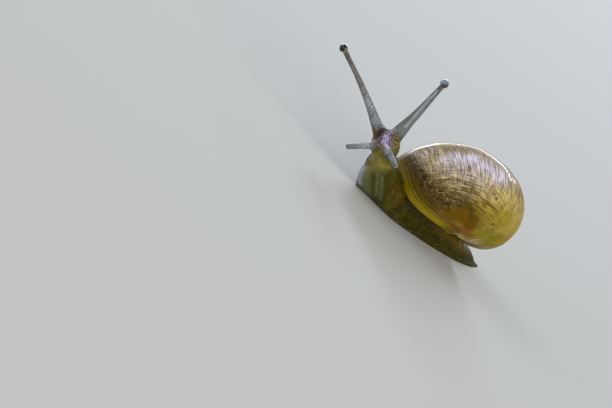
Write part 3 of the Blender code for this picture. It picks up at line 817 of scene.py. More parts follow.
@dataclass
class CoiledShell:
    """A tube wound round an axis and growing with each turn; turn 0 is the lip."""

    unit_mm: float = 5.78
    growth: float = 3.417
    early_growth: float = 2.15
    ease_turns: tuple[float, float] = (-0.55, -1.25)
    centre_r: float = 0.99
    centre_z: float = 1.304
    height_ratio: float = 1.165
    tilt: float = -0.158
    lean_down: float = 0.48
    lean_back: float = 0.282
    navel_r: float = 0.03
    inner_fullness: float = -0.06
    outer_fullness: float = 0.05
    near_axis: float = 0.33
    bow: float = 0.118
    bow_middle: float = 300.0
    bow_reach: tuple[float, float] = (72.0, 52.0)
    lift: float = 0.45
    lift_turns: tuple[float, float] = (-0.45, -0.85)
    turns: float = 3.3
    apex: Point = (2.53, 2.36, 7.47)
    wall: float = 0.20
    inside_turns: float = 0.09
    around: int = 170
    rows_early: int = 130
    rows_late: int = 300
    late_turns: float = 1.2
    crowding: float = 1.15
    edge_rows: int = 8
    inside_rows: int = 26
    ribs_a_turn: float = 95.0
    waves_a_turn: float = 17.0
    rests_a_turn: float = 2.6
    rest_sharpness: int = 40
    rib_height: float = 0.020
    wave_height: float = 0.045
    spiral_height: float = 0.012
    rest_depth: float = 0.06
    axes: Array = field(
        default_factory=lambda: np.array(
            [[-0.8028, -0.3172, 0.5049], [0.5880, -0.2802, 0.7588], [-0.0992, 0.9060, 0.4114]]
        )
    )
    navel_turns: tuple[float, float] = (-0.62, -0.01)
    navel_degrees: tuple[float, float] = (225.0, 268.0)
    navel_widens: float = 55.0
    navel_rings: int = 26
    navel_blends: int = 4
    marks: tuple[Mark, ...] = (
        Mark("shade", ((-10.7, 1.6, 5.7), (-10.9, -1.2, 5.8), (-10.4, -3.4, 5.7), (-8.94, -5.19, 5.7)), 1.45, 1.5),
        Mark("shade", ((-9.7, -4.5, 6.2), (-8.94, -5.19, 6.2), (-7.3, -6.0, 6.6), (-5.8, -6.45, 7.0)), 1.5, 1.5),
        # Painted glow of light through the shell, near the lower lip.
        Mark("painted_glow", ((-6.6, -6.1, 5.9), (-5.6, -6.4, 6.3), (-3.9, -6.6, 6.5), (-3.3, -6.4, 5.9)), 1.10, 1.6),
        # Painted glow just above the lower lip.
        Mark("painted_ember_light", ((-5.0, -6.0, 4.5), (-3.8, -6.0, 4.7), (-2.7, -5.9, 4.7), (-1.4, -5.8, 4.7)), 0.60, 1.1),
        # Partly painted light shining through the shell.
        Mark("gold_with_painted_light", ((-4.8, -6.9, 7.9), (-2.6, -7.2, 8.4), (-0.6, -7.3, 8.9)), 2.0, 1.35),
        Mark("gold_with_painted_light", ((-0.6, -7.3, 8.9), (1.5, -6.9, 8.6), (3.6, -5.6, 8.0)), 2.4, 0.8),
        # Partly painted light shining through the shell.
        Mark("moss_with_painted_light", ((-0.9, -6.1, 5.4), (0.9, -6.5, 5.8), (2.4, -6.0, 6.2)), 1.7, 1.4),
        # Partly painted light shining through the shell.
        Mark("honey_with_painted_light", ((-2.6, -6.3, 11.3), (-0.2, -7.0, 10.4), (1.6, -6.5, 9.6), (3.4, -5.2, 9.2)), 1.9, 1.2),
        Mark("pale", ((-9.3, -1.2, 9.0), (-8.0, -2.8, 10.6), (-5.9, -3.2, 12.1), (-3.3, -4.7, 12.5)), 2.3, 1.3),
        Mark("pale", ((-7.4, -4.6, 10.1), (-5.2, -5.6, 11.0)), 1.5, 1.0),
        Mark("pale", ((-10.1, 0.6, 7.9), (-9.6, -1.2, 8.8), (-8.8, -2.8, 9.2)), 1.2, 1.0),
        Mark("olive", ((-10.5, 2.4, 6.4), (-9.9, 1.3, 7.8), (-9.6, -0.2, 8.9)), 1.5, 1.2),
        Mark("banded", ((-9.4, -4.1, 7.6), (-7.6, -5.4, 8.6), (-5.7, -6.2, 9.1), (-3.9, -6.7, 9.6)), 1.7, 1.2),
        Mark("banded", ((-3.9, -6.7, 9.6), (-2.4, -7.2, 8.4)), 1.3, 0.35),
        # Painted glow along the back of the last whorl.
        Mark("painted_edge_light", ((2.6, -6.0, 6.4), (3.3, -5.9, 8.2), (3.4, -5.2, 10.4)), 0.7, 0.35),
        Mark("mantle", ((-10.5, 2.6, 5.7), (-10.9, 0.6, 6.3), (-10.9, -1.2, 6.6), (-10.5, -3.0, 6.6)), 0.75, 1.1),
        Mark("mantle", ((-10.5, -3.0, 6.6), (-9.7, -4.5, 6.4), (-8.8, -5.3, 6.3), (-7.6, -5.9, 6.2)), 0.55, 0.85),
        Mark("mantle", ((-10.3, -2.2, 7.6), (-9.2, -4.0, 7.9), (-8.1, -5.0, 8.2)), 0.8, 0.35),
        # The patch of painted sheen, which also holds the brown dashes.
        Mark("painted_sheen_and_dashes", ((-10.2, 1.1, 7.7), (-9.6, 0.2, 8.9), (-9.1, -1.4, 9.4)), 1.25, 0.75),
        Mark("painted_sheen_and_dashes", ((-9.1, -1.4, 9.4), (-8.0, -2.8, 10.5), (-6.6, -3.9, 11.3)), 1.3, 0.55),
        # Where the painted sheen haze lies, along the shell's top.
        Mark("painted_sheen_haze", ((-8.0, -1.7, 10.8), (-6.4, -2.4, 12.0), (-4.8, -3.6, 12.4), (-3.2, -4.7, 12.5)), 1.1, 0.95),
        Mark("painted_sheen_haze", ((-9.0, -1.2, 9.7), (-8.0, -2.0, 10.7)), 1.0, 0.5),
        Mark("band", ((-10.3, -1.2, 4.2), (-9.9, -2.7, 4.0), (-8.9, -4.3, 3.9), (-7.9, -5.6, 4.0)), 1.9),
        Mark("band", ((-7.9, -5.6, 4.0), (-6.6, -5.9, 3.9)), 1.2),
        Mark("smooth", ((-2.6, -5.6, 4.6), (-0.6, -5.4, 4.4), (1.5, -5.6, 5.0), (3.6, -4.0, 5.4)), 1.5, 1.2),
        Mark("smooth", ((-6.4, -6.1, 5.4), (-4.6, -6.2, 5.8), (-3.4, -6.4, 6.2)), 1.5, 1.1),
        Mark("enamel", ((-2.5, -5.1, 3.65), (-1.3, -4.7, 3.47), (0.24, -4.25, 3.42), (0.38, -4.4, 3.55)), 0.4, 1.1),
        Mark("enamel", ((0.38, -4.4, 3.55), (0.19, -5.1, 4.03), (0.10, -5.5, 4.5), (0.3, -5.7, 4.85)), 0.24, 0.95),
        Mark("enamel", ((0.9, -4.0, 3.3), (1.1, -4.7, 3.9)), 0.7, 0.5),
        Mark("smooth", ((-2.6, -7.2, 8.4), (-0.6, -7.3, 8.9), (1.5, -6.9, 8.6), (3.6, -5.6, 8.0)), 2.4, 0.75),
        Mark("smooth", ((-0.9, -6.1, 5.4), (0.9, -6.5, 5.8), (2.4, -6.0, 6.2)), 1.8, 0.9),
        Mark("smooth", ((0.2, -6.9, 10.4), (1.6, -6.5, 9.6), (3.4, -5.2, 9.2)), 1.7, 0.6),
        Mark("crest", ((-9.7, 3.6, 6.6), (-9.3, 1.6, 8.9), (-7.9, -0.2, 10.9), (-5.9, -1.4, 12.3)), 1.5),
        Mark("crest", ((-5.9, -1.4, 12.3), (-3.3, -3.0, 13.1), (-0.9, -4.6, 12.7), (1.4, -5.4, 11.3)), 1.5),
        Mark("flecks", ((-10.6, -0.5, 7.2), (-10.2, -2.9, 7.0), (-9.0, -4.8, 6.9), (-7.6, -5.8, 7.0)), 1.0, 0.75),
    )

    def __post_init__(self) -> None:
        """Works out the tube's section and the growth line once."""
        round_tube = np.pi + np.linspace(0.0, 2 * np.pi, self.around, endpoint=False)
        self.degrees = np.degrees(round_tube) % 360.0
        fullness = np.where(np.cos(round_tube) < 0, self.inner_fullness, self.outer_fullness)
        fuller = 1.0 + np.where(np.sin(round_tube) < 0, fullness * np.sin(2 * round_tube) ** 2, 0.0)
        out = fuller * np.cos(round_tube)
        up = fuller * self.height_ratio * np.sin(round_tube)
        c, s = np.cos(self.tilt), np.sin(self.tilt)
        self.out, self.up = out * c - up * s, out * s + up * c
        self.line = self.growth_line()

    def size(self, turns: Array) -> Array:
        """The tube's size: an exponential of the turn, slower in the early whorls.

        Args:
            turns: How many turns from the lip, negative toward the tip of the spire.

        Returns:
            The size, 1 at the lip.
        """
        start, end = self.ease_turns
        back = np.clip(start - turns, 0.0, None)
        span = start - end
        eased = np.where(back < span, back**2 / (2 * span), back - span / 2)
        late, early = np.log(self.growth), np.log(self.early_growth)
        return np.exp(late * turns + (late - early) * eased)

    def raised(self, turns: Array) -> Array:
        """How much an early whorl is raised: its loss of size times a smooth step of the turn.

        Args:
            turns: How many turns from the lip, negative toward the tip of the spire.

        Returns:
            The height in shell units.
        """
        start, end = self.lift_turns
        t = np.clip((turns - start) / (end - start), 0.0, 1.0)
        risen = 1 - self.size(turns) / self.size(np.array(start))
        return self.lift * risen * t * t * (3 - 2 * t)

    def lip_normal(self) -> Array:
        """The direction in which the lip's plane faces, in the shell's own axes."""
        down, back = self.lean_down, self.lean_back
        return np.array([np.sin(back) * np.cos(down), -np.cos(back) * np.cos(down), -np.sin(down)])

    def growth_line(self) -> Array:
        """The angle by which each point of a ring turns about the axis to lie on the growth line.

        Steps along the slope bring each point's height over the lip's plane to nothing; close to the axis
        the angles are drawn straight between their neighbours'. The outer lip then bows forward out of that
        plane by the bow times a squared cosine of the way from its middle to the end of its reach.

        Returns:
            One angle in radians for each point of a ring.
        """
        n = self.lip_normal()
        nudge, least_slope, longest_step, farthest = 1e-5, 0.05, 0.2, 1.4

        def height(turn: Array) -> Array:
            """How high each point lies over the lip's plane: its place times the way the plane faces.

            Args:
                turn: The angle by which each point is turned.

            Returns:
                The height in shell units.
            """
            size = self.size(turn / (2 * np.pi))
            x = size * (self.centre_r + self.out) * np.cos(turn) - self.centre_r
            y = -size * (self.centre_r + self.out) * np.sin(turn)
            z = size * (self.up - self.centre_z) + self.centre_z
            return x * n[0] + y * n[1] + z * n[2]

        angles = np.zeros(self.around)
        for _ in range(60):
            here = height(angles)
            slope = (height(angles + nudge) - here) / nudge
            slope = np.where(np.abs(slope) < least_slope, least_slope * np.sign(slope + 1e-12), slope)
            step = np.clip(here / slope, -longest_step, longest_step)
            angles = np.clip(angles - step, -farthest, farthest)
        near = self.centre_r + self.out < self.near_axis
        steps = np.arange(self.around)
        flat = np.where(near, np.interp(steps, steps[~near], angles[~near], period=self.around), angles)
        off = (self.degrees - self.bow_middle + 180.0) % 360.0 - 180.0
        below, above = self.bow_reach
        share = np.clip(np.abs(off) / np.where(off < 0, below, above), 0.0, 1.0)
        return flat + self.bow * np.cos(0.5 * np.pi * share) ** 2

    def rings(self, turns: Array | float, outward: Array | float = 0.0) -> Array:
        """Growth lines in millimetres: size times the section, carried round and up the axis.

        Args:
            turns: One turn for each ring.
            outward: Millimetres by which a point stands out from the tube.

        Returns:
            Points as rings x points x 3.
        """
        rows = np.atleast_1d(np.asarray(turns, float))[:, None]
        angle = 2 * np.pi * rows + self.line[None, :]
        size = self.size(angle / (2 * np.pi))
        swell = 1.0 + outward / (size * self.unit_mm)
        radius = np.maximum(size * (self.centre_r + self.out * swell), self.navel_r * size)
        z = size * (self.up * swell - self.centre_z) + self.raised(angle / (2 * np.pi))
        local = np.stack([radius * np.cos(angle), -radius * np.sin(angle), z], axis=-1)
        return np.asarray(self.apex) + self.unit_mm * local @ self.axes.T

    def relief(self, turns: Array) -> Array:
        """Growth ridges: uneven ribs along the growth lines, spiral lines and a few lines of rest.

        Ribs, waves and spirals are soft noise drawn out along the shell's own map, and a line of rest is a
        high power of a sine of the turn.

        Args:
            turns: One turn for each ring.

        Returns:
            The height in millimetres at each point of each ring, which is nothing at the lip.
        """
        grid = np.broadcast_to(turns[:, None], (len(turns), self.around))
        along = np.radians(self.degrees)[None, :] * np.ones_like(grid)
        across, up = np.cos(along), np.sin(along)
        ribs = Grain.cloud(np.stack([grid * self.ribs_a_turn, across * 2, up * 2], -1), 1.0, 5)
        waves = Grain.cloud(np.stack([grid * self.waves_a_turn, across * 1.2, up * 1.2], -1), 1.0, 9)
        spirals = Grain.cloud(np.stack([grid * 3, along * 9.0, along * 0], -1), 1.0, 13)
        rests = np.abs(np.sin(grid * 2 * np.pi * self.rests_a_turn + 0.8 * waves)) ** self.rest_sharpness
        height = self.rib_height * ribs + self.wave_height * waves + self.spiral_height * spirals
        return (height - self.rest_depth * rests) * self.size(grid) * ease(-grid, 0.0, 0.01)

    def navel_hull(self) -> tuple[Array, Array]:
        """The tight skin over the last whorl's base round the navel.

        Returns:
            The outward normals of its flat faces, and how far each lies from the origin along its normal.
        """
        low, high = self.navel_degrees
        rings = []
        for turn in np.linspace(*self.navel_turns, self.navel_rings):
            near = (self.degrees > low) & (self.degrees < high - self.navel_widens * turn)
            rings.append(self.rings(turn)[0][near])
        cloud = np.concatenate(rings)
        mesh = bpy.data.meshes.new("navel")
        mesh.from_pydata(cloud.tolist(), [], [])
        solid = bmesh.new()
        solid.from_mesh(mesh)
        bmesh.ops.convex_hull(solid, input=solid.verts)
        solid.normal_update()
        normals = np.array([face.normal[:] for face in solid.faces])
        places = np.array([face.verts[0].co[:] for face in solid.faces])
        solid.free()
        bpy.data.meshes.remove(mesh)
        reach = np.einsum("ij,ij->i", normals, places)
        outward = np.where(reach < normals @ cloud.mean(axis=0), -1.0, 1.0)
        return normals * outward[:, None], reach * outward

    def close_navel(self, rows: Array, inset: Array) -> Array:
        """Fills the navel's funnel by moving the points inside the hull out along the axis.

        A point inside leaves by the first face ahead of it, at the least of (reach - n.p) / n.u over the
        faces whose normals n face along u. The moves are then blended with their neighbours'.

        Args:
            rows: The shell's points as rings x points x 3.
            inset: How far below the hull's faces each ring stops.

        Returns:
            The moved points.
        """
        normals, reach = self.navel_hull()
        down = -self.axes[:, 2]
        facing = normals @ down
        height = reach - rows @ normals.T - inset[:, None, None]
        inside = (height > 0).all(axis=-1)
        ahead = facing > 1e-3
        move = np.where(inside, (height[..., ahead] / facing[ahead]).min(axis=-1), 0.0)
        for _ in range(self.navel_blends):
            beside = np.roll(move, 1, axis=1) + np.roll(move, -1, axis=1)
            padded = np.pad(move, ((1, 1), (0, 0)), mode="edge")
            move = 0.5 * move + 0.125 * (beside + padded[2:] + padded[:-2])
        return rows + move[..., None] * down

    def build(self, finish: ShellFinish) -> bpy.types.Object:
        """The shell with a rounded lip, the wall that shows inside it and its closed navel.

        Rows of growth lines lead to the lip, half a circle as wide as the wall turns round it, and rows drawn
        in by the wall lead back inside.

        Args:
            finish: The shell's finish.

        Returns:
            The finished piece.
        """
        early = np.linspace(-self.turns, -self.late_turns, self.rows_early, endpoint=False)
        late = -self.late_turns * np.linspace(1.0, 0.0, self.rows_late) ** self.crowding
        turns = np.concatenate([early, late])
        outside = self.rings(turns, self.relief(turns))
        lip = outside[-1]
        normal = self.axes @ self.lip_normal()
        inward = self.rings(0.0, -self.wall)[0] - lip
        bend = np.linspace(0.0, np.pi, self.edge_rows)[1:, None, None]
        edge = lip + inward * (1 - np.cos(bend)) / 2 + normal * np.sin(bend) * self.wall / 2
        inner_turns = np.linspace(0.0, -self.inside_turns, self.inside_rows)[1:]
        inside = self.rings(inner_turns, -self.wall)
        rows = np.concatenate([outside, edge, inside])
        along = np.concatenate([turns, np.zeros(len(edge)), inner_turns])
        inset = np.concatenate([np.zeros(len(turns)), np.linspace(0, 1, len(edge)), np.ones(len(inside))])
        late_rows = slice(len(early), None)
        rows[late_rows] = self.close_navel(rows[late_rows], inset[late_rows] * self.wall)
        obj = Surface.closed_grid(rows, along).build("shell_coiled")
        self.store_marks(obj, rows, along, len(turns), len(edge))
        obj.data.materials.append(finish.material())
        return obj

    def store_marks(self, obj: bpy.types.Object, rows: Array, along: Array, outer: int, edge: int) -> None:
        """Stores the patches and the distance from the lip with the mesh.

        Args:
            obj: The shell's piece.
            rows: Its points as rings x points x 3.
            along: The turn of each ring.
            outer: How many rings are outside the lip.
            edge: How many rings turn round it.
        """
        inside_mm_a_turn, farthest = 40.0, 20.0
        step = np.linalg.norm(np.diff(rows[:outer], axis=0), axis=-1)
        from_lip = np.zeros(rows.shape[:2])
        from_lip[: outer - 1] = np.cumsum(step[::-1], axis=0)[::-1]
        from_lip[outer + edge :] = -along[outer + edge :, None] * inside_mm_a_turn
        values = Mark.gather(self.marks, rows)
        values["from_lip"] = np.clip(from_lip, 0.0, farthest)
        for name, value in values.items():
            poles = [value[0].mean(), value[-1].mean()]
            put_attribute(obj, name, np.concatenate([value.ravel(), poles]))


# The flesh


@dataclass(frozen=True)
class Feeler:
    """A tapering stalk through named points, each with its radius, and a rounded tip."""

    line: tuple[tuple[Point, float], ...]
    tip_radius: float
    upper: bool
    around: int = 28

    def rows(self, count: int = 60) -> Array:
        """Places and radii along the stalk."""
        return smooth_rows(np.array([(*p, r) for p, r in self.line]), count)

    def tip(self) -> tuple[Array, Array]:
        """The middle of the tip, and the way the stalk points there."""
        last, before = (np.array(self.line[n][0]) for n in (-1, -2))
        return last, unit(last - before)

    def surfaces(self) -> list[Surface]:
        """The stalk, a circle of changing radius carried along its line, and its round tip.

        Returns:
            The two surfaces.
        """
        rows = self.rows()
        tangent = units(np.gradient(rows[:, :3], axis=0))
        turn = np.linspace(0.0, 2 * np.pi, self.around, endpoint=False)
        side = unit(np.cross(tangent[0], (0.2, 0.3, 0.9)))
        rings = []
        for row, along in zip(rows, tangent):
            side = unit(side - along * side.dot(along))
            other = np.cross(along, side)
            rings.append(row[:3] + row[3] * (np.outer(np.cos(turn), side) + np.outer(np.sin(turn), other)))
        tip, onward = self.tip()
        frame = np.array((side, np.cross(onward, side), onward))
        bulb = ball(tip, frame, (self.tip_radius,) * 3, around=30, along=20)
        return [Surface.closed_grid(np.array(rings)), bulb]

    def near(self, points: Array) -> tuple[Array, Array]:
        """Where each point lies along the stalk, by the nearest of its rows.

        Args:
            points: Places in millimetres.

        Returns:
            The distance to the stalk's line over the radius there, and the share of the stalk's length.
        """
        rows = self.rows(40)
        away = np.linalg.norm(points[:, None, :] - rows[None, :, :3], axis=-1)
        best = away.argmin(axis=1)
        rows_at = np.arange(len(points))
        return away[rows_at, best] / rows[best, 3], best / (len(rows) - 1)


class Side(Enum):
    """The four feelers, by height and by the animal's own side."""

    UPPER_RIGHT = "upper_right"
    UPPER_LEFT = "upper_left"
    LOWER_RIGHT = "lower_right"
    LOWER_LEFT = "lower_left"


FEELERS: dict[Side, Feeler] = {
    Side.UPPER_RIGHT: Feeler(
        (
            ((-18.05, 0.70, 7.35), 0.98),
            ((-19.15, 1.50, 7.95), 0.72),
            ((-20.75, 2.50, 8.95), 0.54),
            ((-22.5, 3.58, 9.95), 0.42),
            ((-24.6, 4.90, 11.05), 0.34),
            ((-26.4, 6.10, 11.90), 0.32),
            ((-27.2, 6.65, 12.30), 0.34),
        ),
        0.50,
        True,
    ),
    Side.UPPER_LEFT: Feeler(
        (
            ((-17.0, -0.20, 7.9), 1.02),
            ((-17.0, -0.15, 9.3), 0.84),
            ((-17.15, -0.30, 10.9), 0.64),
            ((-17.55, -0.70, 12.9), 0.52),
            ((-18.1, -1.15, 15.1), 0.40),
            ((-18.65, -1.62, 17.2), 0.33),
            ((-18.85, -1.80, 17.9), 0.34),
        ),
        0.50,
        True,
    ),
    Side.LOWER_RIGHT: Feeler(
        (
            ((-18.2, -0.45, 6.3), 0.56),
            ((-19.1, -0.35, 5.75), 0.47),
            ((-20.25, -0.13, 4.88), 0.38),
            ((-21.28, 0.11, 4.02), 0.34),
        ),
        0.38,
        False,
    ),
    Side.LOWER_LEFT: Feeler(
        (
            ((-18.0, -1.75, 6.7), 0.52),
            ((-18.15, -2.65, 6.85), 0.44),
            ((-17.92, -3.62, 6.70), 0.36),
            ((-17.57, -4.28, 6.46), 0.33),
        ),
        0.38,
        False,
    ),
}


@dataclass
class BodyForm:
    """Foot, tail and neck: sections of a flat-soled body carried along the sole's middle line."""

    fringe: float = 0.42
    below_floor: float = 0.2
    stations: int = 150
    around: int = 96
    table: Array = field(
        default_factory=lambda: np.array(
            (
                (9.35, 0.0, 0.0, 0.22, 0.16, 0.18, 0.0),
                (9.0, 0.0, 0.0, 0.46, 0.34, 0.24, 0.0),
                (8.5, 0.0, 0.0, 0.82, 0.56, 0.32, 0.0),
                (7.9, 0.0, 0.0, 1.18, 0.84, 0.48, 0.0),
                (7.2, 0.0, 0.0, 1.55, 1.14, 0.92, 0.0),
                (6.5, 0.0, 0.0, 1.88, 1.42, 1.30, 0.0),
                (5.8, 0.0, 0.0, 2.18, 1.70, 1.55, 0.0),
                (3.8, 0.0, 0.0, 2.85, 2.35, 1.95, 0.0),
                (1.6, 0.0, 0.0, 3.30, 2.95, 3.00, 0.0),
                (-0.6, 0.0, 0.0, 3.60, 3.45, 3.90, 0.0),
                (-3.0, 0.0, 0.0, 3.70, 3.70, 4.60, 0.0),
                (-5.4, 0.0, 0.0, 3.62, 3.60, 4.95, 0.0),
                (-7.6, 0.0, 0.0, 3.40, 3.25, 4.90, 0.0),
                (-9.3, -0.02, 0.0, 3.15, 2.95, 4.70, 0.0),
                (-10.7, -0.10, 0.0, 2.95, 2.70, 4.55, 4.0),
                (-12.1, -0.30, 0.05, 2.80, 2.50, 4.40, 12.0),
                (-13.4, -0.62, 0.80, 2.50, 2.30, 3.90, 20.0),
                (-14.6, -1.02, 1.95, 2.30, 2.18, 3.50, 26.0),
                (-15.6, -1.45, 3.15, 2.25, 2.10, 3.25, 29.0),
                (-16.35, -1.88, 4.35, 2.15, 1.98, 2.95, 31.0),
                (-16.85, -2.15, 5.30, 1.70, 1.70, 2.60, 32.0),
            )
        )
    )

    def __post_init__(self) -> None:
        """Works out the middle line and the axes of each section.

        The table's columns are the line's x, y and z, half the sole's width, half the body's, the height
        and the twist in degrees.
        """
        self.rows = smooth_rows(self.table, self.stations)
        self.middle = self.rows[:, :3].copy()
        self.middle[:, 2] = np.maximum(self.middle[:, 2], 0.0)
        self.along = units(np.gradient(self.middle, axis=0))
        left = units(np.cross((0.0, 0.0, 1.0), self.along))
        back = np.cross(self.along, left)
        twist = np.radians(self.rows[:, 6])[:, None]
        self.left = np.cos(twist) * left + np.sin(twist) * back
        self.raised = np.cross(self.along, self.left)

    def section(self, sole: float, body: float, height: float) -> Array:
        """A section: flat sole, thin fringe, groove above it, then the rounded side, and its mirror image.

        Args:
            sole: Half the sole's width.
            body: Half the body's width.
            height: The height over the sole.

        Returns:
            Points along a smooth curve round the section, as distances to the left and up.
        """
        fringe = min(self.fringe, 0.30 * height)
        half = np.array(
            (
                (0.0, -self.below_floor),
                (0.45 * sole, -self.below_floor),
                (0.80 * sole, -self.below_floor),
                (0.96 * sole, -self.below_floor),
                (sole, 0.35 * fringe),
                (0.985 * sole, 0.80 * fringe),
                (0.93 * sole, 1.05 * fringe),
                (0.5 * (0.90 * sole + body), 0.22 * height + 0.5 * fringe),
                (0.99 * body, 0.42 * height),
                (0.97 * body, 0.56 * height),
                (0.88 * body, 0.71 * height),
                (0.70 * body, 0.85 * height),
                (0.40 * body, 0.955 * height),
                (0.0, height),
            )
        )
        flat = np.concatenate([half, half[-2:0:-1] * np.array((-1.0, 1.0)), half[:1]])
        rows = smooth_rows(np.column_stack([flat, np.zeros(len(flat))]), self.around + 1)
        return rows[:-1, :2]

    def surface(self) -> Surface:
        """The body as one closed surface, reaching a little below the floor.

        Returns:
            The sections carried along the middle line.
        """
        rings = []
        for n, row in enumerate(self.rows):
            flat = self.section(row[3], row[4], row[5])
            ring = self.middle[n] + flat[:, :1] * self.left[n] + flat[:, 1:] * self.raised[n]
            ring[:, 2] = np.maximum(ring[:, 2], -self.below_floor)
            rings.append(ring)
        return Surface.closed_grid(np.array(rings))

    def measure(self, points: Array) -> dict[str, Array]:
        """Where each point lies on the body.

        Args:
            points: Places in millimetres.

        Returns:
            The station's number and its x, the distance left of the middle line and above the sole, and
            the sole's half width there.
        """
        away = points[:, None, :] - self.middle[None, :, :]
        ahead = np.abs(np.einsum("psk,sk->ps", away, self.along))
        distance = np.linalg.norm(away, axis=-1)
        station = (ahead + 0.35 * distance).argmin(axis=1)
        rows = np.arange(len(points))
        offset = away[rows, station]
        return {
            "station": station.astype(float),
            "x": self.rows[station, 0],
            "left": np.einsum("pk,pk->p", offset, self.left[station]),
            "up": np.einsum("pk,pk->p", offset, self.raised[station]),
            "sole": self.rows[station, 3],
        }


@dataclass
class HeadForm:
    """The head's rounded masses, given as left, up and forward from its centre."""

    centre: Point = (-17.3, -0.5, 6.68)
    left: Point = (0.663, -0.498, 0.550)
    up: Point = (-0.393, 0.390, 0.827)
    face: Point = (-0.633, -0.771, 0.066)
    masses: tuple[tuple[str, Point, Point], ...] = (
        ("cranium", (0.0, 0.10, -0.35), (1.82, 2.10, 2.05)),
        ("brow", (0.0, 1.30, 0.00), (1.72, 0.95, 1.30)),
        ("snout", (-0.05, -1.10, 0.80), (1.35, 1.25, 1.20)),
        ("chin", (-0.05, -1.95, 0.25), (1.15, 0.75, 0.95)),
        ("mouth_lobe_left", (0.50, -1.30, 1.62), (0.56, 0.70, 0.46)),
        ("mouth_lobe_right", (-0.60, -1.30, 1.62), (0.56, 0.70, 0.46)),
        ("upper_lip", (-0.05, -0.58, 1.72), (0.78, 0.36, 0.38)),
    )
    mouth: Point = (-0.05, -1.25, 2.0)

    def axes(self) -> Array:
        """Left, up and forward as rows."""
        return np.array((self.left, self.up, self.face))

    def surfaces(self) -> list[Surface]:
        """The rounded masses as ellipsoids."""
        axes = self.axes()
        return [ball(np.array(self.centre) + np.array(at) @ axes, axes, radii) for _, at, radii in self.masses]

    def local(self, points: Array) -> Array:
        """Places as left, up and forward from the head's centre."""
        return (points - np.array(self.centre)) @ self.axes().T


@dataclass
class MantleCollar:
    """The soft edge that fills the shell's mouth and stands a little out of it."""

    shell: CoiledShell
    inset: float = 0.27
    depth_degrees: float = 12.0
    out: float = 0.45
    edge: float = 0.45
    hole_offset: Point = (-2.2, 3.9, -0.2)
    hole_radius: float = 0.5

    def surface(self) -> Surface:
        """Growth lines drawn in by the inset, from inside the lip to a rounded edge outside it.

        Returns:
            The closed surface, whose edge is a quarter of an ellipse.
        """
        normal = self.shell.axes @ self.shell.lip_normal()
        turns = -self.depth_degrees / 360.0 * np.array((1.0, 0.66, 0.33, 0.0))
        rings = list(self.shell.rings(turns, -self.inset))
        lip = rings[-1]
        centre = lip.mean(axis=0)
        reach = np.linalg.norm(lip - centre, axis=1).mean()
        for bend in np.linspace(0.15, 1.0, 6):
            drawn = self.edge * (1 - np.cos(bend * np.pi / 2)) / reach
            lifted = self.out * np.sin(bend * np.pi / 2)
            rings.append(centre + (lip - centre) * (1 - drawn) + normal * lifted)
        return Surface.closed_grid(np.array(rings))

    def hole(self) -> Array:
        """The middle of the breathing hole, on the animal's right."""
        return self.shell.rings(0.0)[0].mean(axis=0) + np.array(self.hole_offset)


